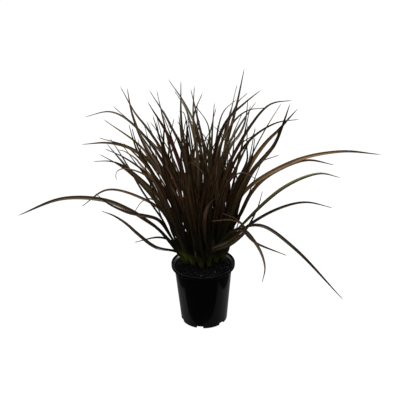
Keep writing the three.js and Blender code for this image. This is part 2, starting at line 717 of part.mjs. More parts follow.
function moveStrand(strand, pushes) {
  const last = strand.points.length - 1;
  const shifts = strand.points.map((point, i) => point.clone().add(pushes[i]).sub(strand.rest[i]));
  for (let i = 1; i <= last; i += 1) {
    const before = shifts[i - 1];
    const after = shifts[Math.min(i + 1, last)];
    const smooth = before.clone().add(after).multiplyScalar(0.5);
    const shift = shifts[i].clone().lerp(smooth, SMOOTHING);
    if (strand.looseness[i] > 0) {
      strand.points[i].copy(strand.rest[i]).add(shift);
      strand.points[i].z = Math.max(strand.points[i].z, lowestAt(strand.points[i]));
    }
  }
}

function clearStrands(strands, rounds) {
  let neighbours = [];
  for (let round = 0; round < rounds; round += 1) {
    if (round % ROUNDS_PER_SEARCH === 0) neighbours = findNeighbours(strands);
    const frames = strands.map((strand) => strand.frames ?? strandFrames(strand));
    const pushes = strands.map((strand) => strand.points.map(() => new THREE.Vector3()));
    let touching = 0;
    for (const pair of neighbours) touching += pushApart(strands, frames, pushes, pair);
    strands.forEach((strand, i) => moveStrand(strand, pushes[i]));
    if (touching === 0) break;
  }
}

// Bodies

// A blade that bends more has more steps
function bladeSteps(strand) {
  const { points } = strand;
  let turning = 0;
  for (let i = 1; i < points.length - 1; i += 1) {
    const before = points[i].clone().sub(points[i - 1]);
    turning += before.angleTo(points[i + 1].clone().sub(points[i]));
  }
  const steps = FEWEST_BLADE_STEPS + Math.floor(turning / degrees(TURN_PER_STEP_DEG));
  return Math.min(steps, MOST_BLADE_STEPS);
}

// A strand with only the few sections that its blade is made of
function ringStrand(strand) {
  const steps = bladeSteps(strand);
  const picks = Array.from({ length: steps + 1 }, (_, k) => Math.round((k / steps) * SPINE_STEPS));
  const { sides, normals } = strandFrames(strand);
  const pick = (values) => picks.map((i) => values[i]);
  return {
    ...strand,
    points: pick(strand.points).map((point) => point.clone()),
    rest: pick(strand.points),
    frames: { sides: pick(sides), normals: pick(normals) },
    halfWidths: pick(strand.halfWidths),
    halfDepths: pick(strand.halfDepths),
    looseness: pick(strand.looseness),
    alongs: picks.map((i) => i / SPINE_STEPS),
  };
}

// Cuts a cone's two under sides into triangles as its upper sides are mirrored, so that a
// twisted blade keeps its thickness
function matchUnderSides(cone, steps) {
  const corners = cone.index.array;
  const facesPerSide = 2 * steps - 1;
  for (const side of [1, 2]) {
    for (let row = 0; row < steps - 1; row += 1) {
      const at = 3 * (side * facesPerSide + 1 + 2 * row);
      const [a, b, d, , c] = corners.slice(at, at + 6);
      corners.set([a, b, c, a, c, d], at);
    }
  }
  return cone;
}

// A blade is a slim four-sided cone laid along its strand: two edges, and between them a
// groove above and a keel below
function bladeGeometry(ring) {
  const last = ring.points.length - 1;
  const blank = matchUnderSides(new THREE.ConeGeometry(1, 1, 4, last), last);
  return moveVertices(blank, (vertex) => {
    const k = Math.round((vertex.y + 0.5) * last);
    const point = ring.points[k].clone();
    if (k === last) return point;
    const radius = 0.5 - vertex.y;
    const across = Math.round(vertex.x / radius);
    const up = Math.round(vertex.z / radius);
    const rise = bladeRise(ring.width, ring.alongs[k]);
    const thickness = bladeThickness(ring.alongs[k]);
    const height = across === 0 ? (up * thickness - rise) / 2 : rise / 2;
    return point
      .addScaledVector(ring.frames.sides[k], across * ring.halfWidths[k])
      .addScaledVector(ring.frames.normals[k], height);
  });
}

function buildFan(fanIndex, rings) {
  const frame = fanFrame(FANS[fanIndex]);
  let fan = toSolid(sheathGeometry(frame, 0));
  for (const ring of rings) {
    if (ring.fan === fanIndex) fan = fan.add(toSolid(bladeGeometry(ring)));
  }
  const bodies = fan.decompose().sort((a, b) => b.volume() - a.volume());
  return toGeometry(bodies[0]);
}

// Potting mix: it fills the pot, rises a little at the crown, and has a hole for each fan

function soilLumps(x, y) {
  const coarse = Math.sin(x / COARSE_LUMP + 1.3) * Math.cos(y / COARSE_LUMP + 0.4);
  const fine = Math.sin((x + y) / FINE_LUMP) * Math.cos((x - 1.4 * y) / FINE_LUMP);
  return LUMP_HEIGHT * (coarse + FINE_LUMP_SHARE * fine);
}

function buildSoil() {
  const floorTop = FOOT_HEIGHT + WALL + FIT_GAP;
  const shoulder = SOIL_TOP - 3;
  const gap = 2 * FIT_GAP;
  const topRadius = outerRadiusAt(shoulder) - WALL - gap;
  const profile = [
    [0, WALL + FIT_GAP],
    [MIDDLE_PAD_RADIUS - DRAFT - gap, WALL + FIT_GAP],
    [MIDDLE_PAD_RADIUS + MIDDLE_PAD_SLOPE - DRAFT - gap, floorTop],
    [outerRadiusAt(floorTop) - WALL - gap, floorTop],
    [topRadius, shoulder],
  ];
  for (let i = SOIL_RINGS; i >= 0; i -= 1) {
    profile.push([((topRadius - gap) * i) / SOIL_RINGS, SOIL_TOP]);
  }
  const geometry = turned(profile, SOIL_SIDES);
  moveVertices(geometry, (vertex) => {
    if (vertex.z < SOIL_TOP - 0.01) return vertex;
    const fromCrown = Math.hypot(vertex.x - CLUMP_CENTRE[0], vertex.y - CLUMP_CENTRE[1]);
    const atWall = ease(Math.hypot(vertex.x, vertex.y), topRadius - 6, topRadius);
    vertex.z += CROWN_RISE * (1 - ease(fromCrown, ...CROWN_BETWEEN));
    vertex.z += soilLumps(vertex.x, vertex.y) * (1 - atWall) - SOIL_EDGE_DROP * atWall;
    return vertex;
  });
  let soil = toSolid(geometry);
  for (const fan of FANS) soil = soil.subtract(toSolid(sheathGeometry(fanFrame(fan), FIT_GAP)));
  return toGeometry(soil);
}

// Finishes

const potPlastic = { color: 0x0c0c0d, roughness: 0.32, metalness: 0 };
const barkMix = { color: 0x1d1613, roughness: 0.95, metalness: 0 };
const bronzeLeaf = { color: 0x3a2a20, roughness: 0.5, metalness: 0 };
const oliveLeaf = { color: 0x46451f, roughness: 0.5, metalness: 0 };

function addPiece(group, name, geometry, finish) {
  const mesh = new THREE.Mesh(geometry, new THREE.MeshStandardMaterial(finish));
  mesh.name = name;
  group.add(mesh);
}

const draw = makeDraw(7919);
const leafStrands = stackLeaves([...seenLeaves(draw), ...fillLeaves(draw)]);
const sheathStrands = FANS.map((_, i) => sheathStrand(i));
clearStrands([...leafStrands, ...sheathStrands], CLEARING_ROUNDS);
const leafRings = leafStrands.map(ringStrand);
clearStrands([...leafRings, ...sheathStrands], CLEARING_ROUNDS);

const plant = new THREE.Group();
addPiece(plant, 'pot', buildPot(), potPlastic);
addPiece(plant, 'potting_mix', buildSoil(), barkMix);
FANS.forEach((_, i) => {
  const name = `fan_${String(i + 1).padStart(2, '0')}`;
  addPiece(plant, name, buildFan(i, leafRings), i % 3 === 1 ? oliveLeaf : bronzeLeaf);
});

export default plant;
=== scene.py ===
import math
import bmesh
import bpy
import numpy as np
from mathutils import Euler, Matrix, Vector, noise


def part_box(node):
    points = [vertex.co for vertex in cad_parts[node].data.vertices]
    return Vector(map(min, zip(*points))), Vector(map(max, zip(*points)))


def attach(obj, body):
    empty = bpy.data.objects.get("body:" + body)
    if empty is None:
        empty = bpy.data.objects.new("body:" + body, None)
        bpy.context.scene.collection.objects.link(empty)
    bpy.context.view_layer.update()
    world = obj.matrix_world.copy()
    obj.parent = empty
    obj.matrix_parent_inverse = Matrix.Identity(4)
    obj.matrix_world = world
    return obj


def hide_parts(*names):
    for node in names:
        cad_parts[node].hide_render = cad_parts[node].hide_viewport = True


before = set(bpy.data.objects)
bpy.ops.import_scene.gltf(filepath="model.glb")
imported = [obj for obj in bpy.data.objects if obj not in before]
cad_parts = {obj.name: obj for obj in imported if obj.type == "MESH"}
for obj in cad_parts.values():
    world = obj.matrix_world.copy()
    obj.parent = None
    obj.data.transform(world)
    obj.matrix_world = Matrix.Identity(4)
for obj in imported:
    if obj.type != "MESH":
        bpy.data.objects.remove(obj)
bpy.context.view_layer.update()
print("frame loaded,", len(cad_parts), "nodes")

# A dwarf New Zealand flax in a round black nursery pot. Leaf rules are in millimetres, as the
# plant was measured, and meshes are in metres.
mm = 0.001


# Camera, floor and soft light

cameraRules = {
    "eye": (0.0, -1.5684, 1.0233),
    "lookAt": (-0.0039, 0.02, 0.2811),
    "rollDeg": -1.263,
    "lensMm": 73.46,
}

studioRules = {
    "floorSize": 16.0,
    # the floor's pale look is nearly all its own glow, so it is even and never brighter than white
    "floorColour": (0.03, 0.03, 0.03),
    "floorGlow": 1.0,
    # brightness overhead (front and back), near the horizon and below it
    "skyFront": 1.1,
    "skyBack": 2.8,
    "skyLow": 0.16,
    "skyBelow": 0.03,
    "skySeen": 1.0,
    # place, width, depth, watts
    "lamps": {
        "backLamp": ((0.3, 1.5, 2.2), 1.2, 0.8, 46),
        "leftLamp": ((-2.0, 0.3, 1.8), 0.9, 0.9, 16),
        "rightLamp": ((2.0, 0.5, 1.6), 0.9, 0.9, 14),
    },
    "lampsAimAt": (0.0, 0.0, 0.25),
    # a white card under the pot, which only shows as a reflection low on its sides
    "cardCorners": ((-0.152, -0.028), (0.146, -0.098), (0.18, 0.4), (-0.18, 0.4)),
    "cardHeight": 0.0002,
    "cardGlow": 0.088,
}


def addToScene(name, data):
    made = bpy.data.objects.new(name, data)
    bpy.context.scene.collection.objects.link(made)
    return made


def addMesh(name, bm):
    mesh = bpy.data.meshes.new(name)
    bm.to_mesh(mesh)
    bm.free()
    return addToScene(name, mesh)


def addCamera(rules):
    data = bpy.data.cameras.new("photoCamera")
    data.lens = rules["lensMm"]
    camera = addToScene("photoCamera", data)
    eye = Vector(rules["eye"])
    upright = (Vector(rules["lookAt"]) - eye).to_track_quat("-Z", "Y").to_matrix()
    turn = upright @ Matrix.Rotation(math.radians(rules["rollDeg"]), 3, "Z")
    camera.matrix_world = Matrix.LocRotScale(eye, turn, None)
    bpy.context.scene.camera = camera


# A glowing piece of the stage, which doesn't show to the kinds of ray that are named
def addStage(name, bm, looks, hiddenFrom):
    material = bpy.data.materials.new(name)
    material.use_nodes = True
    shader = material.node_tree.nodes["Principled BSDF"]
    for socket, value in {"Emission Color": (1, 1, 1, 1), **looks}.items():
        shader.inputs[socket].default_value = value
    piece = addMesh(name, bm)
    piece.data.materials.append(material)
    for ray in hiddenFrom:
        setattr(piece, "visible_" + ray, False)
    return material


def addFloor(rules):
    bm = bmesh.new()
    bmesh.ops.create_grid(bm, x_segments=4, y_segments=4, size=rules["floorSize"] / 2)
    looks = {"Base Color": (*rules["floorColour"], 1), "Roughness": 0.9,
             "Specular IOR Level": 0.0, "Emission Strength": rules["floorGlow"]}
    addStage("paleFloor", bm, looks, ["glossy", "diffuse"])


def addCard(rules):
    bm = bmesh.new()
    bm.faces.new([bm.verts.new((x, y, rules["cardHeight"])) for x, y in rules["cardCorners"]])
    looks = {"Base Color": (0, 0, 0, 1), "Emission Strength": rules["cardGlow"]}
    material = addStage("whiteCard", bm, looks, ["camera", "diffuse", "shadow"])
    material.cycles.emission_sampling = "NONE"


def addLight(rules):
    world = bpy.data.worlds.new("softSky")
    world.use_nodes = True
    nodes, links = world.node_tree.nodes, world.node_tree.links
    heading = nodes.new("ShaderNodeTexCoord").outputs["Generated"]
    parts = nodes.new("ShaderNodeSeparateXYZ")
    links.new(heading, parts.inputs[0])

    def spread(value, low, high, start, end):
        made = nodes.new("ShaderNodeMapRange")
        made.interpolation_type = "SMOOTHSTEP"
        for socket, item in zip(made.inputs, (value, low, high, start, end)):
            if isinstance(item, bpy.types.NodeSocket):
                links.new(item, socket)
            else:
                socket.default_value = item
        return made.outputs[0]

    overhead = spread(parts.outputs[1], -0.8, 0.8, rules["skyFront"], rules["skyBack"])
    upper = spread(parts.outputs[2], 0.45, 0.95, rules["skyLow"], overhead)
    strength = spread(parts.outputs[2], 0.0, -0.25, upper, rules["skyBelow"])
    # the camera sees the sky as pale as the floor
    seen = nodes.new("ShaderNodeLightPath").outputs["Is Camera Ray"]
    background = nodes["Background"].inputs
    links.new(spread(seen, 0.0, 1.0, strength, rules["skySeen"]), background["Strength"])
    background["Color"].default_value = (1, 1, 1, 1)
    bpy.context.scene.world = world
    for name, (place, width, depth, watts) in rules["lamps"].items():
        data = bpy.data.lights.new(name, "AREA")
        data.shape = "RECTANGLE"
        data.size = width
        data.size_y = depth
        data.energy = watts
        lamp = addToScene(name, data)
        aim = Vector(rules["lampsAimAt"]) - Vector(place)
        lamp.matrix_world = Matrix.LocRotScale(Vector(place), aim.to_track_quat("-Z", "Y"), None)


addCamera(cameraRules)
addFloor(studioRules)
addCard(studioRules)
addLight(studioRules)
bpy.context.scene.view_settings.view_transform = "Standard"
print("camera, floor and light set")


# Small sums that the rules share

def mix(low, high, share):
    return low + (high - low) * share


def ease(value, low, high):
    share = np.clip((np.asarray(value, float) - low) / (high - low), 0, 1)
    return share * share * (3 - 2 * share)


def unit(vectors):
    return vectors / np.maximum(np.linalg.norm(vectors, axis=-1, keepdims=True), 1e-12)


def dot(a, b):
    return np.sum(a * b, axis=-1, keepdims=True)


def makeDraw(seed):      # seeded draws between 0 and 1
    state = seed

    def draw():
        nonlocal state
        state = state * 16807 % 2147483647
        return state / 2147483647

    return draw


# The leaves' courses: the rules of the plant's solids, worked out again here

clumpRules = {
    "potHeight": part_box("pot")[1].z / mm,
    "rimRadius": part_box("pot")[1].x / mm,
    "neckRadius": 63.3,
    "soilTop": 133,
    "sheathDepth": 22,
    "sheathHeight": 44,
    "sheathWidth": 16,
    "sheathThickness": 6.8,
    "clumpCentre": (8, 13),
    "leanPerMm": 0.48,
    "leavesPerFan": 9,
    "leastFill": 3,
    "spineSteps": 24,
    "bladeThickness": 1.3,
    "rootFoldDeg": 14,
    "bladeFoldDeg": 24,
    "stackSpacing": 1.83,
    "stackFoot": 5,                    # a leaf's row in the fan, from its foot to its top
    "stackTops": (46, 24),             # tops of the middle leaf and of the outmost ones
    "fillLengths": (215, 310),
    "fillWidths": (7, 10.5),
    "fillSwingDeg": 28,
    "fillSteps": 8,
    "leastTiltDeg": 6,
    "mostTiltDeg": {"left": 46, "right": 36, "front": 30, "back": 82},
    "mostTwistDeg": 110,
    "seenFacing": (0.65, 1),
    "fillFacing": (-0.2, 1),
    "seenGive": 0.25,
    "fillGive": 1,
    "freeBetween": (38, 95),           # how far from its foot a leaf comes free of the fan
    "leafGap": 1.5,
    "clearingRounds": 110,
    "roundsPerSearch": 8,
    "neighbourReach": 12,
    "shiftSmoothing": 0.35,
    "potRoom": 8,                      # room beside the wall, over the rim and over the mix
    "rimRoom": 4,
    "mixRoom": 5,
    "eyeDistance": 1800,
    "eyeElevationDeg": 29.4,
    "seed": 7919,
}

# Where each fan stands (across, away), and how its two ranks are turned
fanPlaces = [
    (-37, 8, 172), (-31, 26, 150), (-17, 42, 126), (1, 46, 82),
    (20, 45, 56), (34, 34, 38), (43, 19, 12), (27, 6, -26),
    (12, -8, 16), (-3, -14, 167), (-20, -3, 24), (-17, 14, 162),
    (26, 22, 118), (-5, 27, 156), (12, 30, 14), (4, 8, 4),
]

# The leaves that can be told apart: fan, how far away the tip is, width, the look of the
# blade, and the points it passes as seen from the front, (across, up) from the rim's middle
seenRows = [
    (1, 20, 12, "olive", [(-98, 72), (-126, 95), (-153, 113), (-214, 140), (-309, 146), (-409, 110)]),
    (1, -20, 9, "bronze", [(-93, 93), (-126, 105), (-155, 110), (-177, 118), (-208, 134), (-236, 157)]),
    (1, 70, 9, "bronze", [(-105, 35), (-142, 64), (-168, 88), (-195, 106), (-223, 117)]),
    (1, -40, 6, "bronze", [(-68, 50), (-98, 57), (-151, 46)]),
    (1, 0, 9.5, "tan", [(-75, 105), (-162, 207), (-198, 226), (-242, 227)]),
    (1, 40, 10.5, "olive", [(-82, 109), (-162, 209), (-210, 268)]),
    (1, 60, 10.5, "bronze", [(-66, 160), (-124, 260), (-152, 334), (-162, 393)]),
    (2, 120, 7.5, "tan", [(-82, 109), (-137, 146), (-207, 164), (-267, 127)]),
    (2, 70, 7, "bronze", [(-82, 121), (-169, 209), (-226, 244)]),
    (2, 95, 10, "tan", [(-81, 183), (-146, 249), (-202, 268), (-266, 266)]),
    (2, 135, 8, "bronze", [(-81, 187), (-146, 251), (-228, 281)]),
    (2, 170, 6, "bronze", [(-73, 216), (-134, 293), (-194, 351)]),
    (2, 100, 7, "tan", [(-109, 188), (-134, 217), (-146, 232), (-160, 242), (-172, 249), (-186, 252)]),
    (3, 160, 7.5, "tan", [(-70, 160), (-128, 253), (-216, 322)]),
    (3, 190, 7.5, "bronze", [(-80, 221), (-145, 307), (-196, 338), (-257, 328)]),
    (3, 150, 8, "bronze", [(-65, 205), (-97, 265), (-123, 305), (-143, 331), (-157, 356), (-178, 397)]),
    (3, 110, 7, "red", [(-59, 171), (-95, 255), (-121, 316)]),
    (3, 120, 9, "bronze", [(-31, 215), (-72, 315), (-113, 386)]),
    (3, 140, 7, "bronze", [(-33, 215), (-63, 301), (-82, 340)]),
    (4, 170, 8, "olive", [(-1, 270), (-29, 345), (-70, 410)]),
    (4, 200, 7.5, "olive", [(-9, 237), (-29, 334), (-57, 384)]),
    (4, 150, 9, "bronze", [(11, 225), (-7, 327), (-20, 388)]),
    (5, 150, 6, "bronze", [(33, 225), (51, 328), (83, 360)]),
    (5, 130, 9.5, "bronze", [(46, 213), (81, 341), (102, 431)]),
    (5, 180, 6, "bronze", [(43, 247), (81, 347), (108, 375)]),
    (5, 160, 10.5, "olive", [(55, 237), (68, 262), (84, 280), (99, 311), (107, 360)]),
    (6, 120, 9, "olive", [(47, 225), (79, 286), (102, 321), (127, 355)]),
    (6, 90, 9.5, "bronze", [(55, 191), (91, 266), (117, 306), (141, 335), (163, 350), (208, 355)]),
    (6, 60, 8, "bronze", [(61, 191), (110, 268), (169, 305), (222, 312)]),
    (6, 110, 7, "tan", [(54, 180), (83, 253), (126, 283)]),
    (6, 80, 10, "tan", [(84, 102), (111, 152), (148, 187), (231, 220), (297, 208)]),
    (6, 40, 6, "bronze", [(83, 57), (121, 112), (135, 155)]),
    (7, 20, 12.5, "tan", [(71, 133), (105, 210), (145, 263), (176, 292), (200, 318), (220, 338)]),
    (7, -10, 12.5, "bronze", [(71, 128), (106, 197), (137, 230), (160, 255), (176, 285), (202, 351)]),
    (7, 30, 11, "tan", [(80, 139), (197, 215), (309, 238), (402, 229)]),
    (7, -20, 8, "bronze", [(89, 68), (161, 111), (228, 127), (289, 113)]),
    (7, 60, 10, "olive", [(65, 135), (86, 184), (102, 210), (117, 232)]),
    (8, 10, 10, "bronze", [(62, 129), (83, 179), (103, 210), (123, 240)]),
    (8, -60, 9.5, "tan", [(69, 120), (101, 183), (129, 215), (151, 240), (166, 264), (176, 294)]),
    (8, -50, 7.5, "bronze", [(80, 135), (122, 212), (176, 234)]),
    (8, -30, 7.5, "bronze", [(73, 135), (113, 223), (122, 275)]),
    (8, -64, 11, "green", [(83, 73), (185, 162), (263, 190), (309, 179)]),
    (8, -110, 9, "bronze", [(89, 71), (132, 76), (203, 24), (306, -90)]),
    (8, -130, 9, "tan", [(87, 71), (122, 32), (136, -12), (128, -49)]),
    (9, -120, 7.5, "bronze", [(83, 71), (117, 41), (185, 10)]),
    (9, -90, 8, "dry", [(60, 42), (92, 70), (66, 90), (17, 89)]),
    (9, -70, 7, "dry", [(62, 47), (90, 75), (75, 92), (44, 106)]),
    (9, -110, 10.5, "dry", [(1, 59), (11, 119), (43, 150)]),
    (10, -60, 10, "bronze", [(-19, 159), (-30, 260), (-29, 320)]),
    (10, -100, 7, "bronze", [(-31, 137), (-24, 219), (10, 190)]),
    (11, -60, 6, "bronze", [(-75, 105), (-99, 138), (-117, 143), (-133, 135), (-149, 112)]),
    (11, -90, 7.5, "tan",
     [(-101, 170), (-127, 195), (-150, 206), (-169, 210), (-185, 207), (-190, 196), (-187, 184)]),
    (11, -50, 7, "bronze", [(-114, 193), (-139, 216), (-159, 229), (-176, 239), (-214, 256)]),
    (11, -40, 8, "tan", [(-92, 154), (-116, 204), (-140, 242), (-152, 278), (-160, 311)]),
    (11, -70, 7, "bronze", [(-88, 150), (-109, 199), (-129, 233), (-143, 264), (-153, 302)]),
    (11, -60, 10.5, "tan", [(-53, 104), (-82, 216), (-80, 319)]),
    (11, 30, 9.5, "olive", [(-88, 120), (-140, 185), (-186, 238)]),
    (12, 70, 9.5, "red", [(-68, 140), (-120, 215), (-172, 268)]),
    (12, 60, 9, "bronze", [(-58, 150), (-105, 240), (-142, 300)]),
    (12, 40, 12, "red", [(-35, 159), (-68, 272), (-118, 361)]),
    (12, 20, 7.5, "bronze", [(-52, 160), (-88, 266), (-98, 315)]),
    (12, -20, 6, "bronze", [(-24, 226), (-33, 316), (-38, 334), (-50, 336)]),
    (12, 0, 7, "bronze", [(-27, 182), (-41, 267), (-47, 328)]),
    (13, 60, 9, "olive", [(50, 150), (86, 230), (122, 292)]),
    (13, 0, 6, "bronze", [(28, 180), (48, 281), (29, 302)]),
    (13, 40, 10.5, "bronze", [(26, 214), (58, 310), (101, 352), (140, 382)]),
    (13, -30, 7.5, "tan", [(31, 225), (52, 276), (70, 304), (89, 324), (112, 336), (152, 339)]),
    (13, 10, 7, "bronze", [(62, 135), (92, 192), (105, 223), (104, 255), (107, 304)]),
    (13, -50, 7, "red", [(45, 147), (86, 195), (128, 178)]),
    (14, 60, 9.5, "bronze", [(-42, 165), (-82, 250), (-106, 330)]),
    (14, 90, 9, "bronze", [(-25, 204), (-41, 305), (-41, 407)]),
    (14, 60, 8, "tan", [(-7, 226), (-15, 322), (7, 378)]),
    (15, 110, 8, "bronze", [(9, 214), (-14, 320), (-11, 394)]),
    (15, 40, 6, "bronze", [(18, 225), (17, 304), (-11, 349)]),
    (15, 90, 8, "bronze", [(15, 181), (25, 292), (32, 355)]),
]


def fanFrame(fan):
    x, y, turnDeg = fanPlaces[fan]
    rules = clumpRules
    outward = np.array([x - rules["clumpCentre"][0], y - rules["clumpCentre"][1], 0.0])
    lean = math.radians(np.linalg.norm(outward) * rules["leanPerMm"])
    axis = unit(outward) * math.sin(lean) + np.array([0, 0, math.cos(lean)])
    turn = math.radians(turnDeg)
    ranks = np.array([math.cos(turn), math.sin(turn), 0])
    ranks = unit(ranks - axis * np.dot(ranks, axis))
    foot = np.array([x, y, rules["soilTop"]], float)
    return {"foot": foot, "axis": axis, "ranks": ranks, "flat": np.cross(axis, ranks)}


fanFrames = [fanFrame(fan) for fan in range(len(fanPlaces))]
eyeTilt = math.radians(clumpRules["eyeElevationDeg"])
toEye = np.array([0, -math.cos(eyeTilt), math.sin(eyeTilt)])


# The place that shows at (across, up) from the front and lies so far away
def placeSeen(point, away):
    across, up = point
    eye = toEye * clumpRules["eyeDistance"]
    sight = np.array([across, up * math.sin(eyeTilt), up * math.cos(eyeTilt)]) - eye
    place = eye + sight * (away - eye[1]) / sight[1]
    return place + np.array([0, 0, clumpRules["potHeight"]])


# Evenly spaced points on a smooth curve through the given ones
def evenPoints(course, steps):
    points = np.array(course)
    ends = np.vstack([2 * points[0] - points[1], points, 2 * points[-1] - points[-2]])
    gaps = np.sum(np.diff(ends, axis=0) ** 2, axis=1) ** 0.25

    def placesAt(shares):
        spans = shares * (len(points) - 1)
        k = np.minimum(spans.astype(int), len(points) - 2)
        t = (spans - k)[:, None]
        p0, p1, p2, p3 = (ends[k + n] for n in range(4))
        g0, g1, g2 = (gaps[k + n][:, None] for n in range(3))
        out = ((p1 - p0) / g0 - (p2 - p0) / (g0 + g1) + (p2 - p1) / g1) * g1
        into = ((p2 - p1) / g1 - (p3 - p1) / (g1 + g2) + (p3 - p2) / g2) * g1
        bend = (3 * (p2 - p1) - 2 * out - into) * t**2
        return p1 + out * t + bend + (2 * (p1 - p2) + out + into) * t**3

    shares = np.linspace(0, 1, 401)
    hops = np.linalg.norm(np.diff(placesAt(shares), axis=0), axis=1)
    lengths = np.concatenate([[0], np.cumsum(hops)])
    return placesAt(np.interp(np.linspace(0, lengths[-1], steps + 1), lengths, shares))


def bladeWidth(width, along):
    return width * mix(0.48, 1, ease(along, 0, 0.4)) * np.maximum(1 - along**3.2, 0.004) ** 0.75


def seenLeaves(draw):
    leaves = []
    for fan, away, width, look, seen in seenRows:
        footAway = fanFrames[fan - 1]["foot"][1]
        shares = [((i + 1) / len(seen)) ** 1.4 for i in range(len(seen))]
        course = [placeSeen(point, mix(footAway, away, share)) for point, share in zip(seen, shares)]
        facing = mix(*clumpRules["seenFacing"], draw())
        leaves.append({"fan": fan - 1, "kind": "seen", "width": width, "look": look,
                       "course": course, "facing": facing, "give": clumpRules["seenGive"]})
    return leaves


# How far from upright a leaf may end: steep at the front and the right, low at the back
def mostTilt(away):
    tilts = clumpRules["mostTiltDeg"]
    sideTilt = tilts["left" if away[0] < 0 else "right"]
    return mix(sideTilt, tilts["front" if away[1] < 0 else "back"], abs(away[1]) ** 1.5)


def fillLeaves(draw):
    leaves = []
    rules = clumpRules
    for fan, here in enumerate(fanFrames):
        seenCount = sum(row[0] == fan + 1 for row in seenRows)
        count = max(rules["leavesPerFan"] - seenCount, rules["leastFill"])
        for i in range(count):
            age = (i + 0.5) / count
            swing = math.radians(mix(-rules["fillSwingDeg"], rules["fillSwingDeg"], draw()))
            turn = np.array([[math.cos(swing), -math.sin(swing)], [math.sin(swing), math.cos(swing)]])
            away = np.append(turn @ unit(here["ranks"][:2] * (1 if i % 2 == 0 else -1)), 0)
            leaning = age * mix(0.7, 1, draw())
            tilt = math.radians(mix(rules["leastTiltDeg"], mostTilt(away), leaning))
            end = away * math.sin(tilt) + np.array([0, 0, math.cos(tilt)])
            stretch = mix(1, 1.3, age * max(away[1], 0))
            length = mix(*rules["fillLengths"], draw()) * stretch
            width = mix(*rules["fillWidths"], draw())
            facing = mix(*rules["fillFacing"], draw())
            steps = rules["fillSteps"]
            place = here["foot"] + here["axis"] * rules["sheathHeight"]
            course = []
            for k in range(1, steps + 1):
                place = place + unit(mix(here["axis"], end, k / steps)) * length / steps
                course.append(place)
            leaves.append({"fan": fan, "kind": "fill", "width": width, "look": "fill",
                           "course": course, "facing": facing, "give": rules["fillGive"]})
    return leaves


# How far a blade has twisted at its tip, to turn one of its faces to the front
def twistToFront(points, side, facing):
    sides, normals = strandFrames(points[None], side[None], np.zeros(1))
    middle = clumpRules["spineSteps"] // 2
    turn = math.atan2(np.dot(toEye, sides[0, middle]), np.dot(toEye, normals[0, middle]))
    if abs(turn) > math.pi / 2:
        turn -= math.copysign(math.pi, turn)
    most = math.radians(clumpRules["mostTwistDeg"])
    return min(max(2 * turn, -most), most) * facing


# A strand is the course of one leaf or sheath, with the room that it takes up
def leafStrand(leaf, points):
    rules = clumpRules
    here = fanFrames[leaf["fan"]]
    along = np.linspace(0, 1, rules["spineSteps"] + 1)
    fold = mix(rules["rootFoldDeg"], rules["bladeFoldDeg"], ease(along, 0, 0.4))
    half = bladeWidth(leaf["width"], along) / 2
    thickness = rules["bladeThickness"] * (1 - 0.4 * along)
    side = here["flat"] * (1 if leaf["place"] < 0 else -1)
    return {
        **leaf,
        "points": points,
        "side": side,
        "twist": twistToFront(points, side, leaf["facing"]),
        "halfWidths": half,
        "halfDepths": (half * np.tan(np.radians(fold)) + thickness) / 2,
        "loose": ease(np.linalg.norm(points - here["foot"], axis=1), *rules["freeBetween"]),
    }


def sheathStrand(fan):
    rules = clumpRules
    here = fanFrames[fan]
    along = np.linspace(0, 1, 7)
    taper = (1 - 0.45 * ease(along, 0.3, 1)) * (1 - 0.55 * ease(along, 0.85, 1))
    levels = mix(-rules["sheathDepth"], rules["sheathHeight"], along)
    return {
        "fan": fan,
        "give": 0,
        "twist": 0,
        "points": here["foot"] + here["axis"] * levels[:, None],
        "side": here["ranks"],
        "halfWidths": rules["sheathWidth"] / 2 * taper,
        "halfDepths": rules["sheathThickness"] / 2 * taper,
        "loose": along * 0,
    }


# In a fan the leaves are stacked in one row, in the order in which they lean
def stackLeaves(leaves):
    rules = clumpRules
    strands = []
    for fan, here in enumerate(fanFrames):
        stack = [leaf for leaf in leaves if leaf["fan"] == fan]
        stack.sort(key=lambda leaf: np.dot(leaf["course"][-1], here["ranks"]))
        middle = (len(stack) - 1) / 2
        for i, leaf in enumerate(stack):
            place = (i - middle) / middle
            out = (i - middle) * rules["stackSpacing"]
            top = mix(*rules["stackTops"], abs(place))
            low = here["foot"] + here["axis"] * rules["stackFoot"] + here["ranks"] * out * 0.6
            high = here["foot"] + here["axis"] * top + here["ranks"] * out
            points = evenPoints([low, high, *leaf["course"]], rules["spineSteps"])
            strands.append(leafStrand({**leaf, "place": place, "out": out}, points))
    return strands


# Directions across (sides) and out of (normals) strands that have equally many points
def strandFrames(points, firstSides, twists):
    last = points.shape[1] - 1
    sides = np.empty_like(points)
    normals = np.empty_like(points)
    side = firstSides
    for i in range(last + 1):
        heading = unit(points[:, min(i + 1, last)] - points[:, max(i - 1, 0)])
        side = unit(side - heading * dot(side, heading))
        angle = (twists * i / last)[:, None]
        sides[:, i] = side * np.cos(angle) + np.cross(heading, side) * np.sin(angle)
        normals[:, i] = np.cross(sides[:, i], heading)
    return sides, normals


# Where on each of two stretches their nearest points lie
def nearestShares(startA, alongA, startB, alongB):
    offset = startA - startB
    aa, bb, ab = dot(alongA, alongA), dot(alongB, alongB), dot(alongA, alongB)
    ao, bo = dot(alongA, offset), dot(alongB, offset)
    spread = aa * bb - ab * ab
    onA = np.where(spread > 1e-9, (ab * bo - bb * ao) / np.maximum(spread, 1e-9), 0.5)
    onA = np.clip(onA, 0, 1)
    onB = np.clip((ab * onA + bo) / bb, 0, 1)
    return np.clip((ab * onB - ao) / aa, 0, 1), onB


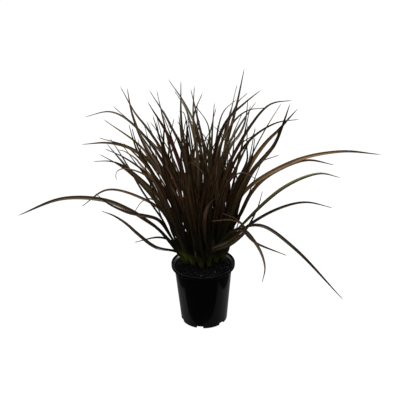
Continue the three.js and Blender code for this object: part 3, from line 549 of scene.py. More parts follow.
# Pairs of stretches that may touch. Leaves of one fan are joined where they leave it.
def findNeighbours(starts, points, loose, strandOf, fanOf):
    middles = (points[starts] + points[starts + 1]) / 2
    halves = np.linalg.norm(points[starts + 1] - points[starts], axis=1) / 2
    strand, fan, slack = strandOf[starts], fanOf[starts], loose[starts]
    foundA, foundB = [], []
    for block in np.array_split(np.arange(len(starts)), 16):
        gaps = middles[block][:, None] - middles[None]
        reach = halves[block][:, None] + halves[None] + clumpRules["neighbourReach"]
        near = np.sum(gaps * gaps, axis=2) < reach * reach
        near &= strand[block][:, None] < strand[None]
        joined = fan[block][:, None] == fan[None]
        near &= ~(joined & (np.minimum(slack[block][:, None], slack[None]) < 0.1))
        a, b = np.nonzero(near)
        foundA.append(starts[block[a]])
        foundB.append(starts[b])
    return np.concatenate(foundA), np.concatenate(foundB)


# Leaves of different fans are bent apart until they pass each other
def clearStrands(strands):
    rules = clumpRules
    counts = [len(strand["points"]) for strand in strands]
    firsts = np.concatenate([[0], np.cumsum(counts)])
    strandOf = np.repeat(np.arange(len(strands)), counts)
    fanOf = np.repeat([strand["fan"] for strand in strands], counts)

    def joined(key):
        return np.concatenate([strand[key] for strand in strands])

    points, loose = joined("points"), joined("loose")
    halfWidths, halfDepths = joined("halfWidths")[:, None], joined("halfDepths")[:, None]
    rest = points.copy()
    gives = loose * np.repeat([strand["give"] for strand in strands], counts)
    starts = np.nonzero(strandOf[:-1] == strandOf[1:])[0]
    order = np.arange(len(points))
    isFirst = np.isin(order, firsts[:-1])
    before = order - ~isFirst
    after = order + ~np.isin(order, firsts[1:] - 1)
    sides, normals = np.empty_like(points), np.empty_like(points)
    groups = [[k for k in range(len(strands)) if counts[k] == n] for n in sorted(set(counts))]

    # room that a strand takes up in one direction
    def extent(at, share, direction):
        across = mix(dot(direction, sides[at]), dot(direction, sides[at + 1]), share)
        out = mix(dot(direction, normals[at]), dot(direction, normals[at + 1]), share)
        halfWidth = mix(halfWidths[at], halfWidths[at + 1], share)
        halfDepth = mix(halfDepths[at], halfDepths[at + 1], share)
        return halfWidth * abs(across) + halfDepth * abs(out)

    for turn in range(rules["clearingRounds"]):
        if turn % rules["roundsPerSearch"] == 0:
            a, b = findNeighbours(starts, points, loose, strandOf, fanOf)
        for group in groups:
            rows = np.array([np.arange(firsts[k], firsts[k + 1]) for k in group])
            firstSides = np.array([strands[k]["side"] for k in group])
            twists = np.array([strands[k]["twist"] for k in group])
            sides[rows], normals[rows] = strandFrames(points[rows], firstSides, twists)
        shareA, shareB = nearestShares(points[a], points[a + 1] - points[a],
                                       points[b], points[b + 1] - points[b])
        gap = mix(points[a], points[a + 1], shareA) - mix(points[b], points[b + 1], shareB)
        distance = np.linalg.norm(gap, axis=1, keepdims=True)
        direction = gap / np.maximum(distance, 1e-6)
        wanted = extent(a, shareA, direction) + extent(b, shareB, direction) + rules["leafGap"]
        looseA = mix(gives[a], gives[a + 1], shareA[:, 0])[:, None]
        looseB = mix(gives[b], gives[b + 1], shareB[:, 0])[:, None]
        touching = ((distance < wanted) & (looseA + looseB >= 1e-3))[:, 0]
        if not touching.any():
            break
        push = direction * 0.5 * (wanted - distance) / np.maximum(looseA + looseB, 1e-3)
        pushes = np.zeros_like(points)
        for at, share in ((a, looseA * (1 - shareA)), (a + 1, looseA * shareA),
                          (b, -looseB * (1 - shareB)), (b + 1, -looseB * shareB)):
            np.add.at(pushes, at[touching], (push * share)[touching])
        shifts = points + pushes - rest
        smooth = mix(shifts, (shifts[before] + shifts[after]) / 2, rules["shiftSmoothing"])
        points = np.where((loose > 0)[:, None] & ~isFirst[:, None], rest + smooth, points)
        radius = np.hypot(points[:, 0], points[:, 1])
        overPot = radius > rules["neckRadius"] - rules["potRoom"]
        lowest = np.where(overPot, rules["potHeight"] + rules["rimRoom"],
                          rules["soilTop"] + rules["mixRoom"])
        lowest = np.where(radius > rules["rimRadius"] + rules["potRoom"], -np.inf, lowest)
        points[:, 2] = np.where(loose > 0, np.maximum(points[:, 2], lowest), points[:, 2])
    for k, strand in enumerate(strands):
        strand["points"] = points[firsts[k]:firsts[k + 1]]


draw = makeDraw(clumpRules["seed"])
leafStrands = stackLeaves([*seenLeaves(draw), *fillLeaves(draw)])
sheathStrands = [sheathStrand(fan) for fan in range(len(fanPlaces))]
clearStrands([*leafStrands, *sheathStrands])
print("leaf courses worked out,", len(leafStrands), "leaves")


# A finished piece that rides with the plant, and the nodes of the frame that it replaces
def addPiece(name, bm, material, slot, *replaced, smooth=True):
    if smooth:
        for face in bm.faces:
            face.smooth = True
    piece = addMesh(name, bm)
    piece.data.materials.append(material)
    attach(piece, "root")
    if replaced:
        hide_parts(*replaced)
    return piece


# Node helpers

def addNode(tree, kind, values=None, **settings):
    made = tree.nodes.new("ShaderNode" + kind)
    for name, value in settings.items():
        setattr(made, name, value)
    for name, value in (values or {}).items():
        if isinstance(value, bpy.types.NodeSocket):
            tree.links.new(value, made.inputs[name])
        else:
            made.inputs[name].default_value = value
    return made


def sums(tree, operation, *values):
    made = addNode(tree, "Math", dict(enumerate(values)), operation=operation)
    return made.outputs[0]


def times(tree, value, *others):
    for other in others:
        value = sums(tree, "MULTIPLY", value, other)
    return value


def ramp(tree, value, low, high, start=0.0, end=1.0):
    values = {"Value": value, "From Min": low, "From Max": high, "To Min": start, "To Max": end}
    return addNode(tree, "MapRange", values, interpolation_type="SMOOTHSTEP").outputs[0]


def noiseAt(tree, place, scale, detail, roughness=0.5):
    values = {"Vector": place, "Scale": scale, "Detail": detail, "Roughness": roughness}
    return addNode(tree, "TexNoise", values).outputs[0]


def bump(tree, height, strength, distance, **under):
    values = {"Height": height, "Strength": strength, "Distance": distance, **under}
    return addNode(tree, "Bump", values).outputs[0]


def blendColours(tree, factor, low, high, mode="MIX"):
    values = {0: factor, 6: low, 7: high}
    return addNode(tree, "Mix", values, data_type="RGBA", blend_type=mode).outputs[2]


def lightened(tree, shade, light):
    grey = addNode(tree, "CombineColor", {0: light, 1: light, 2: light}).outputs[0]
    return blendColours(tree, 1.0, shade, grey, "MULTIPLY")


def colour(red, green, blue):      # screen values from 0 to 255
    def straight(value):
        share = value / 255
        return share / 12.92 if share <= 0.04045 else ((share + 0.055) / 1.055) ** 2.4
    return (straight(red), straight(green), straight(blue), 1.0)


def newMaterial(name):
    material = bpy.data.materials.new(name)
    material.use_nodes = True
    tree = material.node_tree
    return material, tree, addNode(tree, "TexCoord").outputs["Object"]


def finishMaterial(material, shade, rough, normal, shine):
    tree = material.node_tree
    sockets = tree.nodes["Principled BSDF"].inputs
    for name, value in {"Base Color": shade, "Roughness": rough, "Normal": normal}.items():
        tree.links.new(value, sockets[name])
    sockets["Specular IOR Level"].default_value = shine
    return material


def newGroup(name, inputs, outputs):
    tree = bpy.data.node_groups.new(name, "ShaderNodeTree")
    for socket, (kind, value) in inputs.items():
        made = tree.interface.new_socket(socket, in_out="INPUT", socket_type="NodeSocket" + kind)
        if value is not None:
            made.default_value = value
    for socket, kind in outputs.items():
        tree.interface.new_socket(socket, in_out="OUTPUT", socket_type="NodeSocket" + kind)
    return tree, tree.nodes.new("NodeGroupInput").outputs, tree.nodes.new("NodeGroupOutput").inputs


# Dust that lies in patches and specks, on plastic, leaves and bark alike
def buildDustGroup():
    tree, given, result = newGroup(
        "settledDust",
        {
            "Colour": ("Color", (0, 0, 0, 1)),
            "Dust": ("Color", colour(120, 110, 98)),
            "Amount": ("Float", 0.2),
            "Scale": ("Float", 90.0),
            "Place": ("Vector", None),
        },
        {"Colour": "Color", "Mask": "Float"},
    )
    broad = noiseAt(tree, given["Place"], given["Scale"], 4.0)
    fine = noiseAt(tree, given["Place"], times(tree, given["Scale"], 7.0), 2.0)
    patches = times(tree, ramp(tree, broad, 0.42, 0.72), 0.55)
    specks = times(tree, ramp(tree, fine, 0.5, 0.72), 0.45)
    mask = times(tree, sums(tree, "ADD", patches, specks), given["Amount"])
    tree.links.new(mask, result["Mask"])
    tree.links.new(blendColours(tree, mask, given["Colour"], given["Dust"]), result["Colour"])
    return tree


dustGroup = buildDustGroup()


def settleDust(tree, shade, where, dust, amount, scale):
    values = {"Colour": shade, "Place": where, "Dust": dust, "Amount": amount, "Scale": scale}
    return addNode(tree, "Group", values, node_tree=dustGroup).outputs


# Leaves

leafLooks = {      # how much olive, tan and red the blade has, and how light it is
    # the fill leaves, which make up the inner mass, get a low lightness: painted shade for the dark
    # inside of the clump
    "fill": (0.45, 0.05, 0.15, 0.31),
    "bronze": (0.3, 0.2, 0.12, 0.72),
    "olive": (0.85, 0.1, 0.0, 0.95),
    "green": (1.0, 0.1, 0.0, 1.4),
    "tan": (0.2, 0.75, 0.1, 1.25),
    "red": (0.0, 0.05, 0.9, 1.0),
    "dry": (0.0, 1.0, 0.0, 1.9),
}

leafFinish = {
    "slot": "leaf",
    "bronze": colour(43, 38, 25),
    "olive": colour(60, 61, 29),
    "fresh": colour(108, 110, 48),
    "tan": colour(104, 78, 46),
    "red": colour(80, 32, 32),
    "low": colour(42, 43, 28),
    "root": colour(112, 120, 38),
    "rootDark": colour(56, 60, 28),
    "rootPale": colour(184, 192, 104),
    # darker where a blade comes out of the mix
    "darkNearMix": colour(26, 26, 16),
    "tip": colour(62, 49, 34),
    # the margin line's colour: partly the leaf's own colour, partly painted highlight
    "edge": colour(142, 102, 60),
    "dust": colour(110, 98, 82),
    "roughness": 0.34,
    "shine": 0.4,
    "veins": 15.0,
    # the lowest part of a blade is darkened as painted shade inside the clump, and its last part is
    # lightened as painted light
    "lowPaintedShade": 0.5,           # lightness of the lowest part of a blade, and of its last part
    "highPaintedLight": 1.6,
    "paleFrom": 0.62,          # a leaf whose draw is higher is pale near the root
}


def leafMaterial(rules):
    material, tree, where = newMaterial("flaxLeaf")
    place = addNode(tree, "Attribute", attribute_name="leafPlace").outputs
    tint = addNode(tree, "Attribute", attribute_name="leafTint").outputs
    tone = addNode(tree, "Attribute", attribute_name="leafTone").outputs["Fac"]
    across, along, fromRoot = addNode(tree, "SeparateColor", {"Color": place["Color"]}).outputs
    olive, tan, red = addNode(tree, "SeparateColor", {"Color": tint["Color"]}).outputs
    under, chance = place["Alpha"], tint["Alpha"]
    seed = times(tree, chance, 37.0)

    # streaks run the length of the blade, and blotches break them up
    def pattern(acrossScale, alongScale, scale, detail):
        spot = {0: times(tree, across, acrossScale), 1: times(tree, fromRoot, alongScale), 2: seed}
        return noiseAt(tree, addNode(tree, "CombineXYZ", spot).outputs[0], scale, detail)

    streaks = pattern(9.0, 1.6, 1.0, 3.0)
    blotches = pattern(1.2, 2.2, 1.3, 4.0)
    veins = pattern(rules["veins"], 0.5, 2.0, 1.0)

    shade = blendColours(tree, olive, rules["bronze"], rules["olive"])
    shade = blendColours(tree, ramp(tree, olive, 0.97, 1.0), shade, rules["fresh"])
    shade = blendColours(tree, red, shade, rules["red"])
    tanShare = times(tree, tan, ramp(tree, blotches, 0.25, 0.7, 0.45, 1.1))
    shade = blendColours(tree, tanShare, shade, rules["tan"])
    # the blade's own streaks, veins and tone, with painted shade low on the blade and painted light
    # towards its tip
    light = times(
        tree,
        ramp(tree, streaks, 0.3, 0.7, 0.72, 1.3),
        ramp(tree, veins, 0.35, 0.65, 0.9, 1.1),
        tone,
        ramp(tree, fromRoot, 0.5, 2.4, rules["lowPaintedShade"], 1.0),
        ramp(tree, along, 0.4, 0.85, 1.0, rules["highPaintedLight"]),
    )
    shade = lightened(tree, shade, light)
    greyer = addNode(tree, "HueSaturation", {"Saturation": 0.8, "Value": 1.15, "Color": shade})
    shade = blendColours(tree, under, shade, greyer.outputs[0])

    # greener lower down, and the margins and the keel carry a thin orange-brown line, partly the leaf's
    # own colour and partly painted highlight on the edges, fainter low down and at the tip
    shade = blendColours(tree, ramp(tree, fromRoot, 1.9, 0.5, 0.0, 0.65), shade, rules["low"])
    fromMiddle = sums(tree, "ABSOLUTE", sums(tree, "SUBTRACT", across, 0.5))
    keel = times(tree, ramp(tree, fromMiddle, 0.045, 0.015), under, 0.7)
    edgeLineAndHighlight = times(
        tree,
        sums(tree, "MAXIMUM", ramp(tree, fromMiddle, 0.38, 0.47), keel),
        ramp(tree, fromRoot, 0.6, 2.0, 0.08, 0.9),
        ramp(tree, along, 0.6, 0.85, 1.0, 0.3),
    )
    shade = blendColours(tree, edgeLineAndHighlight, shade, rules["edge"])

    # yellow-green at the root, pale on some leaves, and darker where it comes out of the mix
    uneven = times(tree, sums(tree, "SUBTRACT", streaks, 0.5), 0.6)
    height = sums(tree, "ADD", fromRoot, uneven)
    rootTop = ramp(tree, chance, 0.0, 1.0, 0.18, 0.62)
    rootShare = sums(tree, "SUBTRACT", 1.0, sums(tree, "DIVIDE", height, rootTop))
    rootLight = times(tree, ramp(tree, streaks, 0.35, 0.6, 0.25, 1.0),
                      ramp(tree, chance, 0.1, 0.6, 0.5, 1.0))
    rootShade = blendColours(tree, rootLight, rules["rootDark"], rules["root"])
    shade = blendColours(tree, ramp(tree, rootShare, 0.0, 0.7, 0.0, 0.9), shade, rootShade)
    paleShare = times(tree, ramp(tree, rootShare, 0.4, 0.8), ramp(tree, chance, rules["paleFrom"], 0.85))
    shade = blendColours(tree, paleShare, shade, rules["rootPale"])
    # darker low on the blade, where it comes out of the mix
    darkNearMix = ramp(tree, height, 0.16, 0.06, 0.0, 0.6)
    shade = blendColours(tree, darkNearMix, shade, rules["darkNearMix"])

    # dry at the tip, with a little dust everywhere
    nearTip = sums(tree, "ADD", along, times(tree, uneven, 0.12))
    dryness = ramp(tree, nearTip, 0.7, 0.95, 0.0, 0.75)
    shade = blendColours(tree, dryness, shade, rules["tip"])
    shade = settleDust(tree, shade, where, rules["dust"], 0.12, 60.0)["Colour"]
    rough = ramp(tree, blotches, 0.3, 0.7, rules["roughness"] - 0.07, rules["roughness"] + 0.1)
    rough = sums(tree, "ADD", rough, times(tree, dryness, 0.3))
    relief = sums(tree, "ADD", veins, times(tree, blotches, 0.5))
    return finishMaterial(material, shade, rough, bump(tree, relief, 0.35, 0.0004), rules["shine"])


bladeRules = {
    "steps": 44,
    "rootDepth": 9,            # how far the leaf bases reach down into the mix
    "rootSpacing": 0.45,       # how close together they stand there, as a share of their rows
    "thickness": 0.8,
    "keel": 0.55,
    "keelWidth": 0.09,
    "slimness": {"seen": 0.9, "fill": 0.61},      # share of the solid's width that is kept
    "leastWidth": 1.7,
    "tipThickness": 0.9,       # the tip is folded to a needle
    "tipBetween": (0.55, 0.92),
    "openBetween": (0.09, 0.36),      # where the folded base opens out, as shares of the length
    "wings": (5.0, 8.5),       # half of the folded base, inmost and outmost leaf
    "spreads": (0.9, 3.0),     # half thickness of the fold, inmost and outmost leaf
    "topStops": (0.1, 0.3, 0.55, 0.8),
    "paleFans": (1, 11, 12),   # where the lowest part of some leaves is pale
    "freedom": {"seen": 0.2, "fill": 0.85},       # how far a leaf may differ from its look
    "seed": 4271,
}

leafFinishMaterial = leafMaterial(leafFinish)


# Closed sections round a leaf, across and out of its spine, for each step along it
def leafSections(leaf, along, rules):
    stops = rules["topStops"]
    top = np.array([-1, *[-stop for stop in reversed(stops)], 0, *stops, 1])
    size = abs(top)
    slim = leaf["width"] * rules["slimness"][leaf["kind"]]
    half = np.maximum(bladeWidth(slim, along), rules["leastWidth"])[:, None] / 2
    rise = half * math.tan(math.radians(clumpRules["bladeFoldDeg"]))
    openAcross = half * top
    openOut = rise * size**1.15 - rise / 2
    spread = mix(*rules["spreads"], leaf["order"])
    wing = mix(*rules["wings"], leaf["order"])
    foldAcross = np.sign(top) * spread * (1 - np.exp(-4 * size)) / (1 - math.exp(-4))
    foldOut = wing * size**1.1
    opening = ease(along, *rules["openBetween"])[:, None]
    across = mix(foldAcross, openAcross, opening)
    out = mix(foldOut, openOut, opening)
    slopeAcross, slopeOut = np.gradient(across, axis=1), np.gradient(out, axis=1)
    slope = np.maximum(np.hypot(slopeAcross, slopeOut), 1e-9)
    faceAcross, faceOut = -slopeOut / slope, slopeAcross / slope
    thin = (1 - 0.45 * along[:, None]) * np.minimum(1, half / 1.5)
    needle = rules["tipThickness"] * ease(along, *rules["tipBetween"])[:, None]
    thick = rules["thickness"] * thin * (1 - size**2.5) / 2
    thick = thick + needle * (1 - size**2.5) / 2
    lower = thick + rules["keel"] * thin * np.exp(-((size / rules["keelWidth"]) ** 2))
    topAcross, topOut = across + faceAcross * thick, out + faceOut * thick
    underAcross, underOut = across - faceAcross * lower, out - faceOut * lower
    back = slice(-2, 0, -1)      # round the under side from one margin back to the other
    seam = slice(0, 1)
    roundAcross = np.hstack([topAcross, underAcross[:, back], topAcross[:, seam]])
    roundOut = np.hstack([topOut, underOut[:, back], topOut[:, seam]])
    roundShare = np.concatenate([top, top[back], top[seam]])
    isUnder = np.concatenate([top * 0, top[back] * 0 + 1, top[seam] * 0])
    return roundAcross, roundOut, roundShare, isUnder


def addLeaf(bm, leaf, rules):
    here = fanFrames[leaf["fan"]]
    root = here["foot"] - here["axis"] * rules["rootDepth"]
    root = root + here["ranks"] * leaf["out"] * rules["rootSpacing"]
    spine = evenPoints([root, *leaf["points"]], rules["steps"])
    lengths = np.concatenate([[0], np.cumsum(np.linalg.norm(np.diff(spine, axis=0), axis=1))])
    along = lengths / lengths[-1]
    sides, normals = strandFrames(spine[None], leaf["side"][None], np.array([leaf["twist"]]))
    across, out, share, isUnder = leafSections(leaf, along, rules)
    grid = spine[:, None] + sides[0][:, None] * across[..., None] + normals[0][:, None] * out[..., None]
    grid[0] = spine[0]
    grid[-1] = spine[-1]
    columns = len(share) - 1
    made = bmesh.ops.create_grid(bm, x_segments=columns, y_segments=rules["steps"], size=0.5)["verts"]
    placeLayer = bm.verts.layers.float_color["leafPlace"]
    tintLayer = bm.verts.layers.float_color["leafTint"]
    toneLayer = bm.verts.layers.float["leafTone"]
    tint = (*leaf["tint"], leaf["seed"])
    for vert in made:
        column = round((vert.co.x + 0.5) * columns)
        row = round((vert.co.y + 0.5) * rules["steps"])
        vert.co = Vector(grid[row, column]) * mm
        fromRoot = (lengths[row] - rules["rootDepth"]) / 100
        vert[placeLayer] = (share[column] / 2 + 0.5, along[row], fromRoot, isUnder[column])
        vert[tintLayer] = tint
        vert[toneLayer] = leaf["tone"]
    for vert in made:
        margin = vert[placeLayer][0]
        if margin in (0.0, 1.0):
            for edge in vert.link_edges:
                if edge.other_vert(vert)[placeLayer][0] == margin:
                    edge.smooth = False
    faces = list(dict.fromkeys(face for vert in made for face in vert.link_faces))
    bmesh.ops.recalc_face_normals(bm, faces=faces)
    bmesh.ops.remove_doubles(bm, verts=made, dist=1e-7)


def buildFan(fan, leaves):
    bm = bmesh.new()
    bm.verts.layers.float_color.new("leafPlace")
    bm.verts.layers.float_color.new("leafTint")
    bm.verts.layers.float.new("leafTone")
    for leaf in leaves:
        addLeaf(bm, leaf, bladeRules)
    bmesh.ops.recalc_face_normals(bm, faces=bm.faces)
    number = f"{fan + 1:02d}"
    addPiece("flaxFan" + number, bm, leafFinishMaterial, leafFinish["slot"], "fan_" + number)


# Each leaf's share of olive, tan and red, and its place in the fan's fold, outmost 1
def dressLeaves(strands, rules):
    draw = makeDraw(rules["seed"])
    for fan in range(len(fanPlaces)):
        stack = [leaf for leaf in strands if leaf["fan"] == fan]
        ranked = sorted(stack, key=lambda leaf: (abs(leaf["out"]), leaf["out"]))
        for i, leaf in enumerate(ranked):
            leaf["order"] = i / max(len(ranked) - 1, 1)
            leaf["seed"] = draw() * (1 if fan + 1 in rules["paleFans"] else leafFinish["paleFrom"])
            *look, tone = leafLooks[leaf["look"]]
            freedom = rules["freedom"][leaf["kind"]]
            leaf["tint"] = [min(max(part + freedom * (draw() * 1.6 - 0.6), 0), 1) for part in look]
            leaf["tone"] = tone * 2 ** (1.2 * draw() - 0.7 + 2.8 * freedom * (draw() - 0.5))


dressLeaves(leafStrands, bladeRules)
for fan in range(len(fanPlaces)):
    buildFan(fan, [leaf for leaf in leafStrands if leaf["fan"] == fan])
print("fans built")


# Profiles that are spun round the pot's axis

# A profile of (radius, height, rounding) corners, with each corner rounded
def roundedProfile(corners, steps=5):
    points = []
    for i, (radius, height, rounding) in enumerate(corners):
        corner = Vector((radius, height))
        if rounding == 0:
            points.append(corner)
            continue
        start = corner + (Vector(corners[i - 1][:2]) - corner).normalized() * rounding
        end = corner + (Vector(corners[i + 1][:2]) - corner).normalized() * rounding
        for k in range(steps + 1):
            t = k / steps
            points.append(start * (1 - t) ** 2 + corner * 2 * t * (1 - t) + end * t**2)
    return points


def spinProfile(points, sides):
    bm = bmesh.new()
    verts = [bm.verts.new((point[0] * mm, 0, point[1] * mm)) for point in points]
    edges = [bm.edges.new(pair) for pair in zip(verts, verts[1:])]
    bmesh.ops.spin(bm, geom=[*verts, *edges], axis=(0, 0, 1), cent=(0, 0, 0), angle=2 * math.pi,
                   steps=sides, use_merge=True)
    bmesh.ops.remove_doubles(bm, verts=bm.verts, dist=1e-6)
    bmesh.ops.recalc_face_normals(bm, faces=bm.faces)
    return bm


def cutAway(bm, cutter):
    blanks = [addMesh("blank", bm), addMesh("cutter", cutter)]
    cut = blanks[0].modifiers.new("cut", "BOOLEAN")
    cut.operation = "DIFFERENCE"
    cut.solver = "EXACT"
    cut.object = blanks[1]
    result = bmesh.new()
    result.from_object(blanks[0], bpy.context.evaluated_depsgraph_get())
    for blank in blanks:
        bpy.data.objects.remove(blank)
    return result


# Pot

potRules = {
    "rimDepth": 7.5,
    "baseRadius": 51.5,
    "wall": 1.5,
    "footHeight": 5.5,
    "footWidth": 5.0,
    "padRadius": 20.0,
    "padSlope": 3.0,
    "notches": 6,
    "notchWidth": 15.0,
    "notchRounding": 1.6,
    "firstNotchDeg": -101.5,
    "drainRadius": 4.5,
    "drainRing": 34.0,
    "sides": 144,
    "sharpFromDeg": 38,
    "slot": "pot_plastic",
    "black": colour(5, 5, 6),
    "dust": colour(70, 68, 62),
    "roughness": 0.11,
    "shine": 0.32,
}


def potProfile(rules):
    top, rim = clumpRules["potHeight"], clumpRules["rimRadius"]
    neck, neckRadius = top - rules["rimDepth"], clumpRules["neckRadius"]
    base, foot, wall = rules["baseRadius"], rules["footHeight"], rules["wall"]
    pad, padSlope = rules["padRadius"], rules["padSlope"]
    floorTop = foot + wall
    floorRadius = mix(base, neckRadius, floorTop / neck) - wall
    return [
        (0, 0, 0), (pad, 0, 0.8), (pad + padSlope, foot, 0.8),
        (base - rules["footWidth"] - 1, foot, 0.8), (base - rules["footWidth"], 0, 0.7),
        (base, 0, 1.6), (neckRadius, neck, 0.8), (rim, neck, 1.9), (rim, top, 0.75),
        (rim - wall, top, 0.6), (rim - wall - 0.35, neck + 2.6, 1.2),
        (neckRadius - wall, neck + 0.8, 1.4), (floorRadius, floorTop, 1.5),
        (pad + padSlope - 1, floorTop, 0.8), (pad - 1, wall, 0.8), (0, wall, 0),
    ]


def potCutter(rules):
    bm = bmesh.new()
    foot = rules["footHeight"]
    radius = rules["drainRadius"] * mm
    for i in range(rules["notches"]):
        angle = math.radians(rules["firstNotchDeg"]) + i * 2 * math.pi / rules["notches"]
        block = bmesh.ops.create_cube(bm, size=1.0)["verts"]
        size = Vector((3 * rules["footWidth"], rules["notchWidth"], 2 * foot - 0.3)) * mm
        bmesh.ops.scale(bm, vec=size, verts=block)
        edges = dict.fromkeys(edge for vert in block for edge in vert.link_edges)
        longEdges = [e for e in edges if abs(e.verts[0].co.x - e.verts[1].co.x) > size.x / 2]
        rounded = bmesh.ops.bevel(bm, geom=longEdges, offset=rules["notchRounding"] * mm,
                                  affect="EDGES", segments=4, profile=0.5, material=-1)
        block = list(dict.fromkeys(v for face in rounded["faces"] for v in face.verts))
        place = Matrix.Rotation(angle, 4, "Z") @ Matrix.Translation((rules["baseRadius"] * mm, 0, 0))
        bmesh.ops.transform(bm, matrix=place, verts=block)
        hole = bmesh.ops.create_cone(bm, cap_ends=True, segments=32, radius1=radius,
                                     radius2=radius, depth=4 * rules["wall"] * mm)["verts"]
        centre = Matrix.Rotation(angle + math.pi / rules["notches"], 4, "Z")
        centre = centre @ Matrix.Translation((rules["drainRing"] * mm, 0, (foot + 0.5) * mm))
        bmesh.ops.transform(bm, matrix=centre, verts=hole)
    return bm


def potMaterial(rules):
    material, tree, where = newMaterial("blackPotPlastic")
    height = addNode(tree, "SeparateXYZ", {0: where}).outputs[2]
    waves = noiseAt(tree, where, 22.0, 2.0)
    clouds = noiseAt(tree, where, 55.0, 5.0, 0.65)
    # fine scratches run round the wall and down it
    marks = []
    for stretch, low, high in (((60, 60, 1400), 0.66, 0.78), ((900, 900, 30), 0.69, 0.8)):
        place = addNode(tree, "Mapping", {"Vector": where, "Scale": stretch}).outputs[0]
        marks.append(ramp(tree, noiseAt(tree, place, 1.0, 2.0), low, high))
    scratches = times(tree, sums(tree, "MAXIMUM", *marks), ramp(tree, clouds, 0.42, 0.62))
    # dust gathers low on the wall, and its pale veil there also lightens the lower wall as painted sheen
    amount = ramp(tree, ramp(tree, height, 0.075, 0.0), 0.0, 1.0, 0.015, 0.12)
    dust = settleDust(tree, rules["black"], where, rules["dust"], amount, 45.0)
    shade = blendColours(tree, times(tree, scratches, 0.2), dust["Colour"], rules["dust"])
    rough = ramp(tree, clouds, 0.3, 0.7, rules["roughness"] - 0.04, rules["roughness"] + 0.07)
    rough = sums(tree, "ADD", rough, times(tree, dust["Mask"], 1.2))
    rough = sums(tree, "ADD", rough, times(tree, scratches, 0.12))
    relief = bump(tree, waves, 0.25, 0.0006)
    relief = bump(tree, times(tree, scratches, -1.0), 0.15, 0.0001, Normal=relief)
    return finishMaterial(material, shade, rough, relief, rules["shine"])


def buildPot(rules):
    bm = cutAway(spinProfile(roundedProfile(potProfile(rules)), rules["sides"]), potCutter(rules))
    bmesh.ops.remove_doubles(bm, verts=bm.verts, dist=1e-6)
    piece = addPiece("nurseryPot", bm, potMaterial(rules), rules["slot"], "pot")
    piece.data.set_sharp_from_angle(angle=math.radians(rules["sharpFromDeg"]))


buildPot(potRules)
print("pot built")


# Potting mix

mixRules = {
    "top": clumpRules["soilTop"],
    "gap": 0.6,
    "edgeDrop": 1.2,
    "shoulder": 3,                 # the mix's side ends so far under its top
    "crownRise": 2.2,
    "crownBetween": (10, 55),
    "lumpHeight": 0.9,
    "coarseLump": 4.1,
    "fineLump": 2.9,
    "crumb": 0.9,
    "rings": 54,
    "sides": 150,
    "slot": "bark_mix",
    "dark": colour(2, 2, 5),
    "brown": colour(9, 8, 8),
    "moss": colour(14, 17, 5),
    "dust": colour(30, 30, 32),
    "shine": 0.06,
}


# How high the mix lies at a place, lumps and crumbs included
def mixHeight(x, y, rules=mixRules):
    crown = math.hypot(x - clumpRules["clumpCentre"][0], y - clumpRules["clumpCentre"][1])
    edge = mixEdgeRadius(rules)
    atWall = float(ease(math.hypot(x, y), edge - 6, edge))
    coarse = math.sin(x / rules["coarseLump"] + 1.3) * math.cos(y / rules["coarseLump"] + 0.4)
    fine = math.sin((x + y) / rules["fineLump"]) * math.cos((x - 1.4 * y) / rules["fineLump"])
    crumbs = noise.fractal(Vector((x / 5, y / 5, 2.7)), 0.8, 2.2, 4)
    lumps = rules["lumpHeight"] * (coarse + 0.6 * fine) + rules["crumb"] * crumbs
    rise = rules["crownRise"] * (1 - float(ease(crown, *rules["crownBetween"])))
    return rules["top"] + rise + lumps * (1 - atWall) - rules["edgeDrop"] * atWall


def mixEdgeRadius(rules):
    neck = clumpRules["potHeight"] - potRules["rimDepth"]
    shoulder = (rules["top"] - rules["shoulder"]) / neck
    inside = mix(potRules["baseRadius"], clumpRules["neckRadius"], shoulder)
    return inside - potRules["wall"] - rules["gap"]


def mixMaterial(rules):
    material, tree, where = newMaterial("darkPottingMix")
    grains = noiseAt(tree, where, 420.0, 5.0, 0.7)
    clumps = noiseAt(tree, where, 70.0, 3.0)
    mossy = noiseAt(tree, where, 24.0, 6.0, 0.7)
    cells = addNode(tree, "TexVoronoi", {"Vector": where, "Scale": 330.0}).outputs[0]
    shade = blendColours(tree, ramp(tree, grains, 0.42, 0.68), rules["dark"], rules["brown"])
    shade = blendColours(tree, ramp(tree, clumps, 0.62, 0.45, 0.0, 0.75), shade, rules["dark"])
    shade = blendColours(tree, ramp(tree, mossy, 0.56, 0.7, 0.0, 0.6), shade, rules["moss"])
    shade = settleDust(tree, shade, where, rules["dust"], 0.1, 160.0)["Colour"]
    rough = ramp(tree, grains, 0.3, 0.7, 0.72, 0.98)
    relief = sums(tree, "ADD", grains, times(tree, cells, 0.7))
    return finishMaterial(material, shade, rough, bump(tree, relief, 0.8, 0.0012), rules["shine"])


def buildMix(rules):
    wall, gap, foot = potRules["wall"], rules["gap"], potRules["footHeight"]
    pad, padSlope = potRules["padRadius"], potRules["padSlope"]
    neck = clumpRules["potHeight"] - potRules["rimDepth"]
    floorTop = foot + wall + gap / 2
    lowRadius = mix(potRules["baseRadius"], clumpRules["neckRadius"], floorTop / neck) - wall - gap
    edge = mixEdgeRadius(rules)
    profile = [
        (0, wall + gap / 2), (pad - 1 - gap, wall + gap / 2), (pad + padSlope - 1 - gap, floorTop),
        (lowRadius, floorTop), (edge, rules["top"] - rules["shoulder"]),
        *[((edge - gap) * i / rules["rings"], rules["top"]) for i in range(rules["rings"], -1, -1)],
    ]
    bm = spinProfile(profile, rules["sides"])
    for vert in bm.verts:
        if vert.co.z > (rules["top"] - 0.01) * mm:
            vert.co.z = mixHeight(vert.co.x / mm, vert.co.y / mm) * mm
    addPiece("pottingMix", bm, mixMaterial(rules), rules["slot"], "potting_mix")


buildMix(mixRules)
print("potting mix built")


# Bark chips and pale granules that lie on the mix

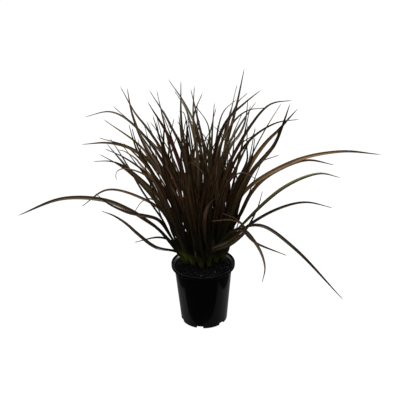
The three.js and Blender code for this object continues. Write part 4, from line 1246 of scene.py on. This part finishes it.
chipRules = {
    "tries": 760,
    "lengths": (2.0, 9.5),
    "widths": (0.35, 0.7),
    "depths": (0.14, 0.32),
    "tiltDeg": 24,
    "fanClearance": 7.0,
    "edgeClearance": 3.0,
    "roughness": 0.75,
    "grain": 380.0,
    "seed": 611,
    "noiseSeed": 53,
    "slot": "bark_mix",
    "dark": colour(3, 3, 5),
    "brown": colour(14, 12, 11),
    "grey": colour(26, 26, 27),
}

granuleRules = {
    # across, away, length, width: the three that show at the front, then the seeded ones
    "seen": [(40.1, -22.0, 3.4, 2.9), (53.1, -13.7, 3.0, 2.4), (-5.2, -50.2, 4.6, 2.6)],
    "more": 9,
    "sizes": (1.8, 3.0),
    "edgeClearance": 4.0,
    "roughness": 0.5,
    "grain": 700.0,
    "seed": 97,
    "slot": "bark_mix",
    "pale": colour(118, 116, 110),
    "shade": colour(70, 68, 62),
}


def isClearOfFans(x, y, room):
    return all(math.hypot(x - here["foot"][0], y - here["foot"][1]) > room for here in fanFrames)


def newLumps():
    bm = bmesh.new()
    bm.verts.layers.float_color.new("lumpTint")
    return bm


def spotOnMix(draw, rules):
    reach = mixEdgeRadius(mixRules) - rules["edgeClearance"]
    radius, angle = reach * math.sqrt(draw()), 2 * math.pi * draw()
    return radius * math.cos(angle), radius * math.sin(angle)


# A small lump at a place on the mix: a round blank, stretched, turned and roughened
def addLump(bm, subdivisions, place, size, turn, rough, tint):
    made = bmesh.ops.create_icosphere(bm, subdivisions=subdivisions, radius=0.5)["verts"]
    layer = bm.verts.layers.float_color["lumpTint"]
    for vert in made:
        spot = vert.co * 2.3 + Vector(place) * 0.7
        vert.co += noise.noise_vector(spot) * rough
        vert[layer] = (tint, tint, tint, 1)
    matrix = Matrix.LocRotScale(Vector(place) * mm, turn, Vector(size) * mm)
    bmesh.ops.transform(bm, matrix=matrix, verts=made)


def lumpMaterial(name, rules, dark, light, pale):
    material, tree, where = newMaterial(name)
    tint = addNode(tree, "Attribute", attribute_name="lumpTint").outputs["Color"]
    tintValue = addNode(tree, "SeparateColor", {"Color": tint}).outputs[0]
    grain = noiseAt(tree, where, rules["grain"], 4.0, 0.65)
    shade = blendColours(tree, ramp(tree, tintValue, 0.1, 0.9), rules[dark], rules[light])
    shade = blendColours(tree, ramp(tree, tintValue, 0.93, 0.99, 0.0, 0.7), shade, rules[pale])
    shade = lightened(tree, shade, ramp(tree, grain, 0.3, 0.7, 0.55, 1.35))
    rough = ramp(tree, grain, 0.3, 0.7, rules["roughness"], rules["roughness"] + 0.15)
    return finishMaterial(material, shade, rough, bump(tree, grain, 0.6, 0.0004), 0.15)


def buildChips(rules):
    bm = newLumps()
    draw = makeDraw(rules["seed"])
    tilt = math.radians(rules["tiltDeg"])
    for _ in range(rules["tries"]):
        x, y = spotOnMix(draw, rules)
        length = mix(*rules["lengths"], draw() ** 2.2)
        size = (length, length * mix(*rules["widths"], draw()), length * mix(*rules["depths"], draw()))
        turn = Euler((mix(-tilt, tilt, draw()), mix(-tilt, tilt, draw()), 2 * math.pi * draw()))
        tint = draw()
        if isClearOfFans(x, y, rules["fanClearance"]):
            place = (x, y, mixHeight(x, y) + size[2] * 0.2)
            addLump(bm, 1, place, size, turn, 0.3, tint)
    material = lumpMaterial("barkChip", rules, "dark", "brown", "grey")
    addPiece("barkChips", bm, material, rules["slot"], smooth=False)


def buildGranules(rules):
    bm = newLumps()
    draw = makeDraw(rules["seed"])
    spots = list(rules["seen"])
    while len(spots) < len(rules["seen"]) + rules["more"]:
        x, y = spotOnMix(draw, rules)
        size = mix(*rules["sizes"], draw())
        if isClearOfFans(x, y, chipRules["fanClearance"]):
            spots.append((x, y, size, size * 0.85))
    for x, y, length, width in spots:
        turn = Euler((0.2 * draw(), 0.2 * draw(), math.pi * (0.1 if length > 4 else draw())))
        place = (x, y, mixHeight(x, y) + width * 0.3)
        addLump(bm, 3, place, (length, width, width), turn, 0.05, draw() * 0.9)
    material = lumpMaterial("paleGranule", rules, "shade", "pale", "pale")
    addPiece("paleGranules", bm, material, rules["slot"])


noise.seed_set(chipRules["noiseSeed"])      # unseeded, the lumps would differ at each run
buildChips(chipRules)
buildGranules(granuleRules)
print("chips and granules built")
